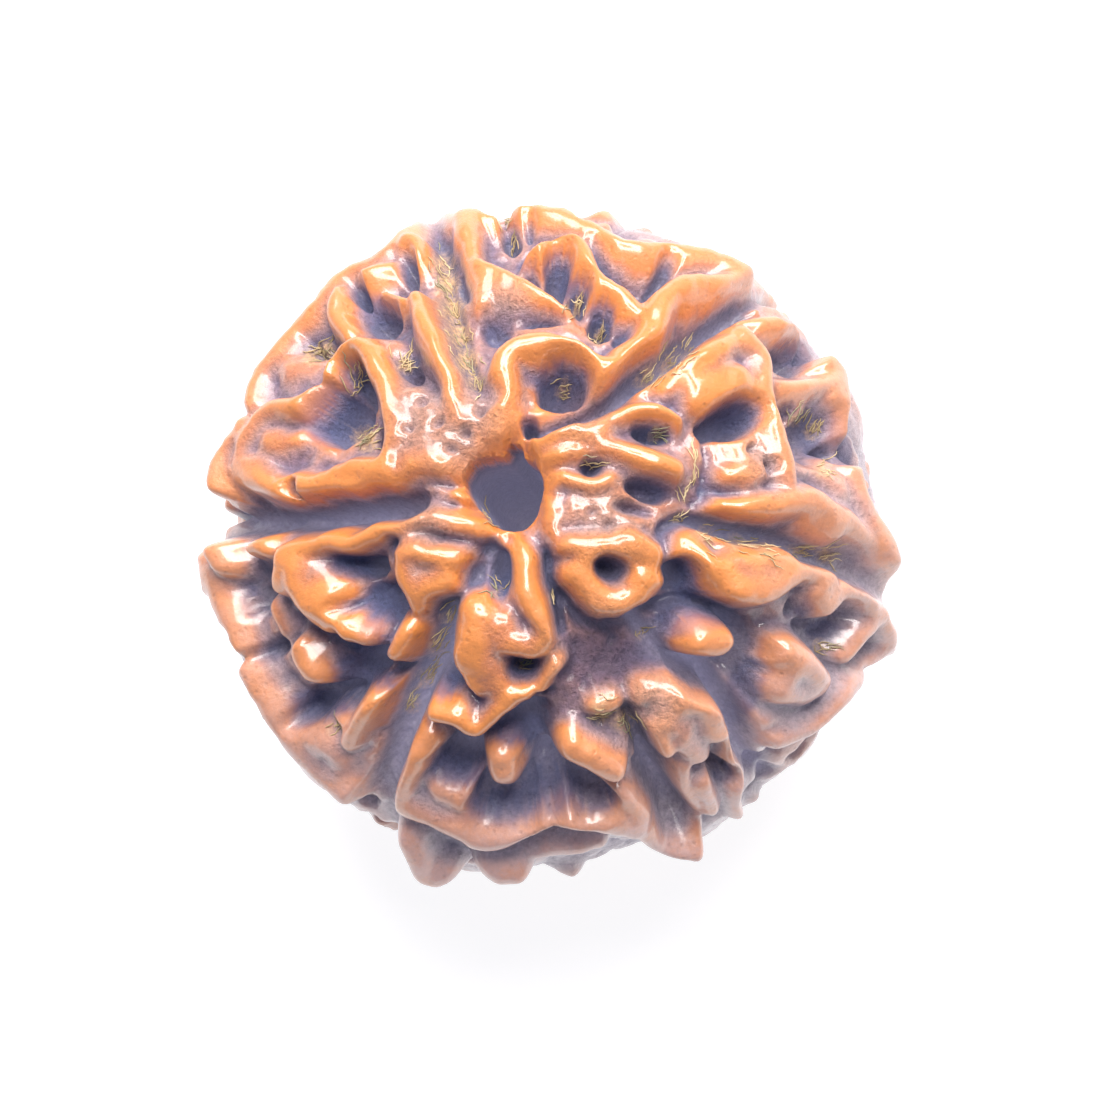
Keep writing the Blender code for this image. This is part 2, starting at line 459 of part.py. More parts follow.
def lower_cleft(start, azimuth):
    """A cleft's way on from the photograph's outline to the lower mouth, at even angles there."""
    first = math.degrees(math.atan2(start[1], start[0]))
    drop = math.degrees(math.acos(start[2] / np.linalg.norm(start)))
    swing = (azimuth - first + 180) % 360 - 180
    shares = np.linspace(0.0, 1.0, len(LOWER_CLEFT_LEVELS) + 1)
    turns = np.clip((shares - STRAIGHT_SHARE) / (1 - STRAIGHT_SHARE), 0, 1)
    return np.array([polar_point(first + swing * turn + CLEFT_SWAY * math.sin(2 * math.pi * turn),
                                 drop + (LOWER_CLEFT_END - drop) * share)
                     for share, turn in zip(shares, turns)])


def scattered(rng, spacing, tries, off_axis):
    """Points of the skin drawn one after another, none nearer another than the spacing."""
    kept = []
    for way in rng.normal(size=(tries, 3)):
        point = on_skin(way / np.linalg.norm(way))
        if math.hypot(point[0], point[1]) < off_axis:
            continue
        if all(np.linalg.norm(point - other) >= spacing for other in kept):
            kept.append(point)
    return np.array(kept)


def cosine_to_view(points):
    return points @ BACK / np.linalg.norm(points, axis=1)


def nearest_line(points, lines):
    """How far each point is from the nearest of the lines."""
    return np.min([off_line(points, line, levels)[0] for line, levels in lines], axis=0)


def web():
    """Ridges and pits of the sides that the photograph doesn't show, or only at a slant."""
    rng = np.random.default_rng(WEB_SEED)
    seen_lines = [traced(knots) for face in RIDGES.values() for _, knots in face]
    knobs = scattered(rng, WEB_SPACING, WEB_TRIES, WEB_OFF_AXIS)
    free = nearest_line(knobs, seen_lines) > WEB_KNOB_GAP
    knobs = knobs[cosine_to_view(knobs) < np.where(free, SLANTED, UNSEEN)]
    ridges = []
    for i, a in enumerate(knobs):
        for b in knobs[i + 1:]:
            length = np.linalg.norm(a - b)
            if length < WEB_REACH * WEB_SPACING and rng.random() < WEB_CHANCE:
                bend = (a + b) / 2 + rng.normal(size=3) * WEB_BEND * length
                line = np.array([a, on_skin(bend / np.linalg.norm(bend)), b])
                levels = rng.uniform(WEB_CREST_LOW, WEB_CREST_HIGH)
                ways = line / np.linalg.norm(line, axis=1)[:, None]
                levels -= rim_swell(ways)
                levels -= WEB_RIM_DROP * np.exp(-((ways @ BACK - WEB_DROP_MIDDLE) / WEB_DROP_REACH) ** 2)
                ridges.append((rng.uniform(*WEB_HALF_WIDTHS), line, levels))
    hollows = scattered(rng, WEB_PIT_SPACING, WEB_TRIES, WEB_PIT_OFF_AXIS)
    hollows = hollows[cosine_to_view(hollows) < SLANTED]
    clear = nearest_line(hollows, seen_lines + [ridge[1:] for ridge in ridges])
    pits = [(point, min(gap, WEB_PIT_RADIUS), rng.uniform(*WEB_PIT_FLOORS))
            for point, gap in zip(hollows, clear) if gap > WEB_PIT_CLEARANCE]
    return ridges, pits


def mouth_radius(azimuth):
    """Radius of the upper mouth at an azimuth in radians."""
    places = np.array([spot(x, y, MOUTH_LEVEL) for x, y in MOUTH])
    angles = np.arctan2(places[:, 1], places[:, 0])
    order = np.argsort(angles)
    return np.interp(azimuth, angles[order], np.hypot(places[:, 0], places[:, 1])[order],
                     period=2 * math.pi)


def relief(ways):
    """Radius of the bead's surface in each direction."""
    points = on_skin(ways)
    wobble = np.stack([ripple(points, 1.8, seed) for seed in (11, 12, 13)], axis=1)
    seen = points + 0.05 * wobble
    hidden = points + WEB_WOBBLE * wobble
    height = SKIN_LEVEL + 0.12 * ripple(points, 3.5, 5)
    for x, y, reach, rise in GROUND:
        height += rise * np.exp(-(np.linalg.norm(points - spot(x, y, 0.0), axis=1) / reach) ** 2)
    off_axis = np.hypot(points[:, 0], points[:, 1])
    height -= MOUTH_DIMPLE * np.exp(-(off_axis / DIMPLE_REACH) ** 2)
    web_ridges, web_pits = web()
    for half_width, line, levels in web_ridges:
        raise_ridge(hidden, height, half_width, line, levels)
    lip_radius, lip_width, lip_level = REST_LIP
    lip_polar = 180 - math.degrees(math.atan2(lip_radius, REST_DEPTH))
    lip = np.array([polar_point(azimuth, lip_polar) for azimuth in range(0, 375, 15)])
    raise_ridge(seen, height, lip_width, lip, np.full(len(lip), lip_level))
    for face in RIDGES.values():
        for half_width, knots in face:
            raise_ridge(seen, height, half_width, *traced(knots))
    for half_width, knots in VALLEYS + [FOLD]:
        sink_valley(seen, height, half_width, *traced(knots, CLEFT_LIPS))
    for name, (half_width, knots) in CLEFTS.items():
        line, levels = traced(knots, CLEFT_LIPS)
        sink_valley(seen, height, half_width, line, levels)
        below = lower_cleft(line[-1], LOWER_CLEFTS[name])
        sink_valley(seen, height, half_width, below, (levels[-1],) + LOWER_CLEFT_LEVELS)
    for pit in PITS:
        sink_pit(seen, height, *pit)
    for middle, radius, level in web_pits:
        sink_hollow(hidden, height, middle, radius, level)
    height += rim_swell(ways)
    mouth = np.where(points[:, 2] > 0, mouth_radius(np.arctan2(points[:, 1], points[:, 0])),
                     LOWER_HOLE_RADIUS)
    height -= LIP_DROP * np.exp(-np.maximum(off_axis - mouth, 0.0) / LIP_REACH)
    radius = np.linalg.norm(points, axis=1) + height
    resting = REST_DEPTH / np.maximum(-ways[:, 2], 1e-6)
    return np.minimum(radius, resting)


def settle(mesh):
    """Takes what is near or under the resting plane to it, so that the flat spot is flat."""
    for vert in mesh.vertices:
        if vert.co.z < FLAT_GAP - REST_DEPTH:
            vert.co.z = -REST_DEPTH


def place(mesh):
    """From millimetres round the bead's middle to metres, with the flat spot at z = 0."""
    mesh.transform(Matrix.Translation((AXIS_PLACE[0], AXIS_PLACE[1], REST_DEPTH)))
    mesh.transform(Matrix.Scale(MM, 4))
    mesh.shade_smooth()


def woody_material():
    material = bpy.data.materials.new("rudraksha_wood")
    material.use_nodes = True
    shader = material.node_tree.nodes["Principled BSDF"]
    shader.inputs["Base Color"].default_value = (0.52, 0.20, 0.065, 1.0)
    shader.inputs["Roughness"].default_value = 0.32
    shader.inputs["Metallic"].default_value = 0.0
    material.diffuse_color = (0.52, 0.20, 0.065, 1.0)
    return material


def bead_object(collection):
    """The bead without its hole: an icosphere moved to the relief, smoothed and thinned out."""
    shape = bmesh.new()
    bmesh.ops.create_icosphere(shape, subdivisions=ICOSPHERE_SUBDIVISIONS, radius=1.0)
    ways = np.array([vert.co for vert in shape.verts])
    ways /= np.linalg.norm(ways, axis=1)[:, None]
    for vert, point in zip(shape.verts, ways * relief(ways)[:, None]):
        vert.co = point
    for _ in range(SMOOTHING_PASSES):
        bmesh.ops.smooth_vert(shape, verts=shape.verts, factor=0.5,
                              use_axis_x=True, use_axis_y=True, use_axis_z=True)
    mesh = bpy.data.meshes.new("rudraksha_bead")
    shape.to_mesh(mesh)
    shape.free()
    bead = bpy.data.objects.new("rudraksha_bead", mesh)
    collection.objects.link(bead)
    thin = bead.modifiers.new("thin", "DECIMATE")
    thin.ratio = TRIANGLES / len(mesh.polygons)
    evaluated = bead.evaluated_get(bpy.context.evaluated_depsgraph_get())
    bead.data = bpy.data.meshes.new_from_object(evaluated)
    bead.modifiers.remove(thin)
    bpy.data.meshes.remove(mesh)
    settle(bead.data)
    place(bead.data)
    bead.data.materials.append(woody_material())
    return bead


def bore_cutter(collection):
    """The hole from pole to pole: three-cornered with a notch above, round below."""
    shape = bmesh.new()
    bmesh.ops.create_cone(shape, cap_ends=True, segments=BORE_SIDES, radius1=1.0, radius2=1.0,
                          depth=2 * BORE_REACH)
    for height in BORE_CUTS:
        bmesh.ops.bisect_plane(shape, geom=shape.verts[:] + shape.edges[:] + shape.faces[:],
                               plane_co=(0.0, 0.0, height), plane_no=(0.0, 0.0, 1.0))
    for vert in shape.verts:
        share = min(max(vert.co.z / SPHEROID_HEIGHT, -1.0), 1.0)
        upper = mouth_radius(math.atan2(vert.co.y, vert.co.x))
        radius = LOWER_HOLE_RADIUS + (upper - LOWER_HOLE_RADIUS) * (share + 1) / 2
        radius *= BORE_WAIST + (1 - BORE_WAIST) * share ** 2
        vert.co.x *= radius
        vert.co.y *= radius
    mesh = bpy.data.meshes.new("bore")
    shape.to_mesh(mesh)
    shape.free()
    place(mesh)
    bore = bpy.data.objects.new("bore", mesh)
    bore.hide_render = True
    bore.display_type = "WIRE"
    collection.objects.link(bore)
    return bore


def main():
    for old in list(bpy.data.objects):
        bpy.data.objects.remove(old)
    parts = bpy.data.collections.new("five_mukhi_rudraksha")
    cutters = bpy.data.collections.new("cutters")
    for collection in (parts, cutters):
        bpy.context.scene.collection.children.link(collection)
    bead = bead_object(parts)
    hole = bead.modifiers.new("hole", "BOOLEAN")
    hole.operation = "DIFFERENCE"
    hole.solver = "EXACT"
    hole.object = bore_cutter(cutters)


main()
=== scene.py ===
# Looks of a five mukhi rudraksha: the oiled stone with its fibres, a pale floor, lamps and camera
import math

import bmesh
import bpy
import numpy as np
from mathutils import Matrix, Vector
from mathutils.bvhtree import BVHTree


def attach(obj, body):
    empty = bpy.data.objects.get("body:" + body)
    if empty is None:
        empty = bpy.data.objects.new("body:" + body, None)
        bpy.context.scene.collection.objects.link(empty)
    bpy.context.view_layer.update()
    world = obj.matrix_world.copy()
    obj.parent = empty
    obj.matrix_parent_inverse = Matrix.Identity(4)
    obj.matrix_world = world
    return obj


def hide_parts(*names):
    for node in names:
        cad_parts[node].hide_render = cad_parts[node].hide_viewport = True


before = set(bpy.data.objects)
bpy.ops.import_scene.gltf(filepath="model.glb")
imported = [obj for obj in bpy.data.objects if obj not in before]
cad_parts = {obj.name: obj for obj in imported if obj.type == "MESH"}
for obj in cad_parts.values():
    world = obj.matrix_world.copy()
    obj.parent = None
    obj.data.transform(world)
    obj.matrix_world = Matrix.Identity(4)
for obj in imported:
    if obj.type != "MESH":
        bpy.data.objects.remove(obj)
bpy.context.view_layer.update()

mm = 0.001

# The photo's view: the camera stands over the hole and leans a little off its axis
view = {
    "pixelsPerMm": 31.8,
    "photoSize": 1100,
    "beadPixel": (549, 545),  # the middle of the bead
    "distance": 160.0,
    "tilt": 17.0,             # degrees off the hole's axis
    "turn": -49.5,            # degrees from +X to the side it leans to
    "sensor": 36,
    "clip": (0.01, 10),       # metres
}

# Everything the stone is shaped by, in millimetres and in pixels of the photo
stone = {
    "radius": 10.0,           # level 0 across the stone
    "height": 8.0,            # level 0 from the middle to a pole
    "restDepth": 8.1,         # the flat spot under the middle
    "axisPlace": (-0.2, 0.0),  # where the hole's axis stands, from the middle of the bead's outline
    "skinLevel": -0.15,       # the skin between the ridges
    "dimple": (0.25, 2.2),    # depth and reach of the dip at both mouths
    "mouthLevel": -0.5,       # the level that the mouth is traced at
    "lip": (0.35, 0.25),      # drop and reach of a mouth's rounded lip
    "subdivisions": (8, 7),   # of the ball that is shaped, fine and coarse
    "smoothing": (4, 2),      # rounds, the same way
    "triangles": 190000,
    "waves": (0.12, 3.5, 5),  # slow waves of the skin: depth, wavelength, seed
    "crooked": (0.05, 1.8, (11, 12, 13)),  # how the traced lines waver: reach, wavelength, seeds
    "uneven": [(0.07, 1.0, 31), (0.045, 0.45, 32)],  # small dents over everything: depth, wavelength, seed
    "unevenShare": (0.4, 1.6),  # of the dents: least on the crests, most in the hollows
    # the upper mouth, anticlockwise from its left corner
    "mouth": [(465, 478), (472, 497), (484, 512), (500, 529), (516, 535), (533, 526), (543, 506),
             (546, 482), (538, 468), (526, 460), (523, 446), (511, 446), (506, 459), (488, 460), (473, 466)],
    # half width, then pixels with the level of the floor
    "clefts": {
        "left": (0.56, [(452, 497, 0.5), (425, 497, 0.0), (395, 500, -1.0), (350, 508, -1.7),
                        (300, 514, -1.6), (265, 521, -1.1), (235, 522, -0.9), (208, 513, -0.8)]),
        "upper left": (0.44, [(487, 400, 0.3), (470, 365, -0.2), (458, 335, -0.4), (450, 300, -0.6),
                              (443, 268, -0.6), (439, 240, 0.0), (431, 217, 0.42)]),
        "upper right": (0.42, [(540, 425, -0.2), (570, 414, -0.5), (610, 392, -0.9), (653, 362, -1.4),
                               (696, 327, -1.7), (722, 311, -1.5), (748, 298, -0.8), (770, 288, -0.1)]),
        "right": (0.48, [(672, 528, -0.4), (705, 520, -0.8), (760, 534, -1.7), (800, 545, -1.7),
                         (828, 556, -0.9), (855, 572, -0.4), (880, 591, 0.35), (893, 602, 0.65)]),
        "lower left": (0.66, [(500, 545, 0.0), (480, 560, -0.5), (455, 600, -1.4), (432, 650, -1.8),
                             (405, 700, -1.9), (388, 745, -1.6), (378, 785, -1.0), (380, 815, -0.3),
                             (383, 837, 0.15)]),
    },
    "fold": (0.6, [(640, 625, -1.0), (690, 672, -1.5), (730, 688, -1.8), (746, 725, -1.6),
                   (758, 765, -1.2), (778, 785, -0.9), (812, 822, -0.6)]),
    # broad rises and hollows under the ridges: pixel, reach, rise
    "ground": [
        (430, 430, 1.7, 0.55), (500, 420, 1.3, 0.5), (590, 490, 2.0, 0.6), (620, 410, 1.2, 0.3),
        (440, 540, 1.3, 0.35), (520, 590, 1.2, 0.3), (735, 375, 1.5, 0.7), (750, 460, 1.5, 0.5),
        (830, 505, 1.3, 0.5), (520, 285, 1.2, 0.4), (540, 225, 1.2, 0.3), (300, 380, 1.2, 0.4),
        (280, 445, 1.2, 0.5), (300, 590, 1.3, 0.5), (330, 760, 1.3, 0.5), (470, 820, 1.8, 0.4),
        (700, 720, 1.2, 0.5), (765, 590, 1.2, 0.4),
        (385, 610, 1.0, -0.8), (360, 670, 1.2, -0.7), (690, 640, 1.9, -0.9), (760, 660, 1.2, -0.6),
        (600, 650, 1.3, -0.4), (440, 680, 0.9, -0.6), (520, 725, 1.0, -0.7), (510, 780, 1.9, -0.8),
        (820, 640, 1.0, -0.5), (560, 270, 0.9, -0.5), (635, 275, 0.9, -0.5), (565, 884, 1.6, -0.6),
        (612, 872, 1.5, -0.6), (608, 222, 1.3, -0.5), (880, 482, 1.0, -0.3),
    ],
    # half width, then pixels with the level of the crest
    "ridges": {
        "upper left face": [
            (0.4, [(232, 452, 0.95), (240, 430, 0.95), (258, 411, 0.9), (285, 398, 0.85), (315, 386, 0.8),
                   (328, 362, 0.8), (346, 338, 0.95), (364, 346, 0.95), (378, 372, 0.85), (386, 405, 0.8),
                   (391, 437, 0.75), (378, 463, 0.7), (345, 464, 0.7), (318, 475, 0.65), (292, 484, 0.7),
                   (255, 474, 0.85), (232, 452, 0.95)]),
            (0.42, [(226, 470, 0.95), (255, 481, 0.85), (300, 489, 0.7), (350, 482, 0.6), (395, 468, 0.55),
                    (440, 460, 0.45)]),
            (0.7, [(262, 440, 0.75), (285, 440, 0.5)]),
            (0.35, [(203, 490, 1.35), (205, 470, 1.3), (216, 448, 1.05), (230, 424, 1.0)]),
            (0.45, [(243, 400, 0.85), (252, 370, 0.8), (272, 345, 0.75), (292, 325, 0.7), (315, 295, 0.8),
                    (340, 268, 0.8), (372, 255, 0.75), (395, 236, 0.8)]),
            (0.38, [(343, 330, 0.6), (330, 308, 0.85), (333, 285, 0.95), (350, 272, 0.95), (372, 264, 0.85),
                    (395, 262, 0.6)]),
            (0.5, [(280, 350, 0.45), (285, 372, 0.4)]),
            (0.28, [(377, 288, 0.7), (401, 296, 0.65)]),
            (0.4, [(405, 232, 1.0), (404, 248, 0.95)]),
            (0.5, [(405, 226, 0.9), (431, 214, 0.5), (460, 212, 0.8)]),
            (0.34, [(411, 289, 0.85), (420, 315, 0.95), (432, 342, 1.0), (443, 370, 0.9), (450, 398, 0.75),
                    (455, 420, 0.55)]),
            (0.5, [(372, 340, 0.6), (392, 345, 0.35)]),
            (0.9, [(405, 400, 0.5), (440, 425, 0.45), (470, 425, 0.4)]),
            (0.6, [(400, 430, 0.5), (430, 445, 0.5), (470, 448, 0.4)]),
            (0.45, [(405, 458, 0.55), (440, 462, 0.5), (462, 466, 0.35)]),
            (0.3, [(425, 495, 0.3), (462, 492, 0.3)]),
        ],
        "top face": [
            (0.36, [(463, 212, 0.85), (468, 235, 0.8), (474, 258, 0.65), (480, 282, 0.6), (487, 303, 0.5)]),
            (0.36, [(480, 258, 0.75), (505, 272, 0.7), (530, 281, 0.65), (550, 293, 0.55),
                    (562, 303, 0.4)]),
            (0.5, [(485, 278, 0.6), (510, 288, 0.55), (535, 294, 0.5)]),
            (0.5, [(462, 225, 0.9), (468, 208, 0.95), (490, 209, 0.75), (520, 205, 0.9), (550, 205, 0.95),
                   (580, 216, 0.85), (605, 231, 0.8), (640, 243, 0.8), (690, 247, 0.85), (725, 253, 0.95),
                   (750, 266, 1.0), (764, 284, 0.9)]),
            (0.4, [(533, 247, 0.75), (550, 236, 0.95), (570, 233, 1.0), (585, 249, 0.9), (603, 272, 0.85),
                   (622, 290, 0.75), (640, 306, 0.6)]),
            (0.46, [(622, 350, 0.65), (645, 338, 0.8), (660, 315, 0.9), (672, 288, 1.0), (690, 276, 1.1),
                    (715, 275, 1.0), (742, 274, 0.9), (760, 282, 0.7)]),
            (0.3, [(590, 232, 0.8), (618, 240, 0.85), (645, 246, 0.8)]),
            (0.5, [(497, 428, 0.45), (497, 400, 0.7), (500, 370, 0.9), (508, 345, 1.0), (528, 336, 1.05),
                   (552, 337, 1.05), (575, 345, 1.0), (597, 358, 0.9), (622, 358, 0.85), (645, 343, 0.8)]),
            (0.35, [(470, 345, 0.1), (478, 375, 0.15)]),
        ],
        "right face": [
            (0.5, [(672, 385, 0.6), (685, 368, 0.9), (705, 350, 1.05), (728, 340, 1.05), (748, 335, 1.0)]),
            (0.45, [(745, 328, 1.0), (763, 345, 0.95), (770, 370, 0.9), (772, 400, 0.85), (781, 428, 0.85),
                    (790, 455, 0.85), (795, 485, 0.8)]),
            (0.85, [(705, 378, 0.9), (745, 372, 0.95)]),
            (0.6, [(700, 395, 0.75), (755, 395, 0.8)]),
            (0.6, [(745, 445, 0.5), (755, 475, 0.6)]),
            (0.4, [(735, 472, 0.6), (765, 470, 0.65)]),
            (0.45, [(728, 507, 0.6), (755, 503, 0.8), (785, 503, 0.9), (820, 500, 0.95), (848, 513, 0.95),
                    (872, 535, 0.9), (895, 565, 0.9)]),
            (0.7, [(815, 500, 0.85), (845, 520, 0.9)]),
            (0.42, [(764, 322, 0.8), (785, 318, 0.95), (806, 326, 1.0), (824, 343, 1.0), (836, 370, 0.8),
                    (845, 405, 0.75), (848, 430, 0.7)]),
            (0.36, [(785, 385, 0.6), (812, 380, 0.75), (838, 378, 0.8)]),
            (0.45, [(812, 330, 0.9), (838, 352, 0.95), (848, 385, 0.8), (856, 430, 0.8), (861, 470, 0.8),
                    (878, 512, 0.95), (896, 545, 1.2), (905, 574, 1.3), (903, 594, 1.2)]),
            (0.3, [(800, 470, 0.4), (825, 475, 0.45), (845, 485, 0.6)]),
            (0.3, [(640, 385, 0.1), (680, 358, 0.3), (715, 335, 0.4), (745, 322, 0.5)]),
        ],
        "lower right face": [
            (0.25, [(680, 530, 0.2), (715, 540, 0.3), (750, 553, 0.4), (790, 565, 0.5), (825, 570, 0.5)]),
            (0.42, [(690, 548, 0.5), (708, 560, 0.8), (728, 575, 0.95), (748, 592, 1.0)]),
            (0.5, [(740, 590, 1.0), (765, 590, 1.05), (792, 582, 0.95), (808, 572, 0.85)]),
            (0.42, [(815, 573, 0.8), (835, 580, 0.85), (842, 598, 0.75)]),
            (0.42, [(855, 588, 0.85), (878, 598, 0.95), (885, 618, 0.85), (868, 640, 0.75),
                    (852, 658, 0.6)]),
            (0.4, [(892, 608, 0.95), (899, 632, 1.0), (897, 650, 0.95)]),
            (0.34, [(894, 645, 0.85), (884, 662, 0.8), (870, 678, 0.75), (860, 690, 0.95), (834, 718, 0.95),
                    (792, 742, 0.7), (767, 756, 0.6)]),
            (0.55, [(798, 656, 0.9), (812, 668, 0.95), (822, 684, 0.85)]),
            (0.5, [(760, 725, 0.2), (800, 715, 0.3), (840, 700, 0.4)]),
        ],
        "bottom face": [
            (0.55, [(690, 705, 0.9), (715, 712, 0.95), (720, 738, 0.8)]),
            (0.45, [(660, 735, 0.75), (668, 755, 0.8)]),
            (0.5, [(690, 745, 0.75), (700, 760, 0.6)]),
            (0.6, [(650, 700, 0.45), (675, 705, 0.6)]),
            (0.24, [(731, 705, 0.8), (736, 740, 0.75), (738, 780, 0.7), (740, 822, 0.65)]),
            (0.36, [(708, 790, 0.65), (716, 815, 0.6)]),
            (0.3, [(685, 770, 0.5), (690, 800, 0.5), (700, 830, 0.5)]),
            (0.4, [(595, 710, 0.3), (615, 705, 0.3)]),
            (0.42, [(432, 716, 0.8), (450, 722, 0.9), (470, 733, 0.75)]),
            (0.42, [(475, 725, 0.6), (500, 712, 0.65), (525, 696, 0.65)]),
            (0.3, [(545, 690, 0.5), (558, 668, 0.6)]),
            (0.42, [(478, 585, 0.5), (465, 610, 0.8), (458, 640, 0.85), (462, 668, 0.75), (478, 690, 0.6)]),
            (0.42, [(505, 540, 0.4), (522, 560, 0.65), (528, 590, 0.85), (538, 615, 0.9),
                    (548, 640, 0.85)]),
            (0.6, [(480, 630, 0.85), (500, 628, 0.7)]),
            (0.5, [(490, 670, 0.6), (500, 695, 0.6)]),
            (0.35, [(515, 640, 0.6), (545, 650, 0.6)]),
            (0.55, [(425, 745, 0.4), (412, 765, 0.7), (397, 790, 0.85), (398, 812, 0.85), (425, 825, 0.8),
                    (455, 838, 0.85), (480, 850, 0.85), (510, 843, 0.85), (540, 828, 0.85),
                    (575, 826, 0.85), (610, 832, 0.85), (635, 836, 0.8)]),
            (0.7, [(440, 800, 0.5), (480, 815, 0.55)]),
            (0.5, [(590, 810, 0.6), (620, 805, 0.65), (640, 820, 0.6)]),
            (0.4, [(640, 835, 0.7), (660, 848, 0.75), (682, 860, 1.1), (697, 864, 1.3)]),
            (0.5, [(402, 848, 1.0), (415, 872, 1.2), (424, 887, 1.3), (442, 884, 1.1)]),
            (0.42, [(482, 870, 0.8), (495, 884, 1.1), (514, 884, 1.1)]),
            (0.5, [(520, 862, 0.55), (560, 856, 0.45), (600, 848, 0.45)]),
        ],
        "lower left face": [
            (0.45, [(200, 549, 1.3), (209, 563, 1.15)]),
            (0.3, [(243, 546, 0.9), (258, 548, 0.85)]),
            (0.38, [(275, 556, 0.85), (300, 548, 0.75), (330, 542, 0.75), (360, 536, 0.75), (390, 524, 0.7),
                    (420, 516, 0.65), (450, 520, 0.55), (478, 530, 0.45)]),
            (0.6, [(285, 570, 0.95), (295, 590, 0.9), (318, 605, 0.85)]),
            (0.45, [(300, 600, 0.9), (325, 618, 0.85), (345, 636, 0.75)]),
            (0.4, [(275, 560, 0.9), (272, 585, 0.85)]),
            (0.35, [(270, 610, 0.4), (280, 630, 0.3)]),
            (0.5, [(400, 548, 0.75), (420, 560, 0.75), (440, 558, 0.65)]),
            (0.42, [(400, 565, 0.75), (405, 585, 0.7), (415, 605, 0.5)]),
            (0.5, [(455, 560, 0.3), (450, 580, 0.1)]),
            (0.5, [(203, 575, 0.95), (212, 605, 0.9), (225, 640, 0.9), (238, 675, 0.88), (258, 710, 0.88),
                   (278, 738, 0.85), (300, 765, 0.85), (325, 788, 0.9), (350, 810, 1.05), (366, 824, 1.0)]),
            (0.35, [(195, 562, 1.0), (200, 590, 0.9)]),
            (0.35, [(385, 692, 0.4), (368, 708, 0.7), (356, 728, 0.75), (342, 748, 0.65)]),
            (0.6, [(300, 748, 0.7), (325, 755, 0.7), (335, 775, 0.65)]),
            (0.3, [(330, 720, 0.3), (345, 730, 0.4)]),
        ],
        "round the hole": [
            (0.36, [(540, 438, 0.6), (560, 430, 0.8), (585, 427, 0.85), (605, 424, 0.75)]),
            (0.36, [(545, 455, 0.6), (570, 450, 0.7), (595, 442, 0.6)]),
            (0.3, [(612, 418, 0.6), (635, 408, 0.75), (660, 408, 0.8), (680, 420, 0.7)]),
            (0.36, [(605, 440, 0.7), (630, 448, 0.8), (655, 455, 0.85), (680, 466, 0.75)]),
            (0.35, [(560, 478, 0.6), (585, 482, 0.65), (610, 475, 0.6)]),
            (0.7, [(575, 510, 0.5), (610, 515, 0.45), (640, 520, 0.4)]),
            (0.5, [(572, 543, 0.8), (600, 548, 0.95), (635, 546, 1.0), (658, 553, 0.9)]),
            (0.6, [(580, 575, 0.75), (600, 600, 0.7), (635, 600, 0.7), (655, 580, 0.8)]),
            (0.4, [(590, 560, 0.85), (640, 575, 0.8)]),
            (0.3, [(545, 470, 0.4), (552, 500, 0.5), (555, 525, 0.5), (562, 545, 0.5)]),
        ],
    },
    # half width, then pixels with the level of the floor
    "valleys": [
        (0.20, [(226, 503, 0.2), (224, 472, 0.2), (230, 446, 0.3)]),
        (0.14, [(262, 392, 0.3), (285, 381, 0.2), (305, 374, 0.2)]),
        (0.30, [(590, 245, 0.2), (612, 265, -0.5), (635, 280, -0.9), (643, 292, -1.0)]),
        (0.25, [(643, 292, -1.0), (655, 275, -0.9), (668, 262, -0.6)]),
        (0.20, [(712, 440, -0.2), (713, 470, -0.4), (712, 500, -0.3)]),
        (0.50, [(660, 615, -1.2), (700, 612, -1.2), (740, 625, -1.5), (765, 640, -1.7),
                (750, 680, -1.8)]),
        (0.24, [(545, 545, -0.1), (552, 575, -0.8), (556, 610, -1.0), (565, 640, -0.9)]),
        (0.50, [(565, 600, -0.9), (590, 635, -0.9), (620, 650, -0.9), (610, 685, -0.8)]),
        (0.36, [(632, 722, -0.5), (642, 745, -1.2), (654, 780, -1.5), (668, 810, -1.1),
                (680, 830, -0.2)]),
        (0.66, [(656, 780, -1.5), (668, 805, -1.6), (680, 828, -1.3)]),
    ],
    # pixel, half width and half height in pixels, turn in degrees, level of the floor
    "pits": [
        (353, 384, 16, 32, 8, -1.5), (331, 412, 38, 34, 0, -1.7), (378, 432, 8, 18, 0, -1.1),
        (325, 343, 13, 11, 0, -1.0), (309, 345, 7, 14, 0, -0.5), (376, 310, 21, 16, 0, -1.3),
        (357, 295, 12, 10, 0, -0.6), (409, 270, 9, 13, 0, -0.7), (407, 365, 12, 11, 0, -0.8),
        (298, 490, 4, 8, 0, -0.6), (459, 275, 7, 20, 4, -0.6), (462, 340, 19, 52, 14, -0.25),
        (510, 231, 10, 13, 0, -1.0), (527, 231, 6, 7, 0, -0.4), (515, 248, 6, 5, 0, -0.2),
        (529, 268, 13, 9, 0, -1.0), (556, 268, 15, 20, -20, -1.5), (576, 290, 19, 15, 0, -1.6),
        (602, 315, 14, 18, 0, -1.4), (621, 330, 9, 12, 0, -0.6), (562, 381, 32, 24, 0, -1.9),
        (540, 315, 32, 9, 0, -0.6), (492, 322, 24, 17, 0, -0.6),
        (735, 418, 27, 20, 15, -1.5), (712, 427, 10, 15, 0, -0.8), (795, 353, 22, 17, 0, -1.4),
        (820, 433, 28, 32, 0, -0.8), (789, 411, 9, 11, 30, -1.1), (843, 452, 11, 19, 0, -1.2),
        (815, 450, 14, 11, 0, -1.2),
        (686, 579, 17, 24, 0, -1.8), (822, 630, 19, 12, 0, -1.2), (805, 608, 11, 13, 0, -1.0),
        (498, 574, 14, 29, 0, -1.5), (523, 671, 18, 13, 0, -0.9), (443, 683, 21, 17, 0, -1.5),
        (520, 729, 30, 17, 18, -1.7), (458, 768, 32, 24, 0, -1.6), (550, 788, 36, 30, 0, -1.9),
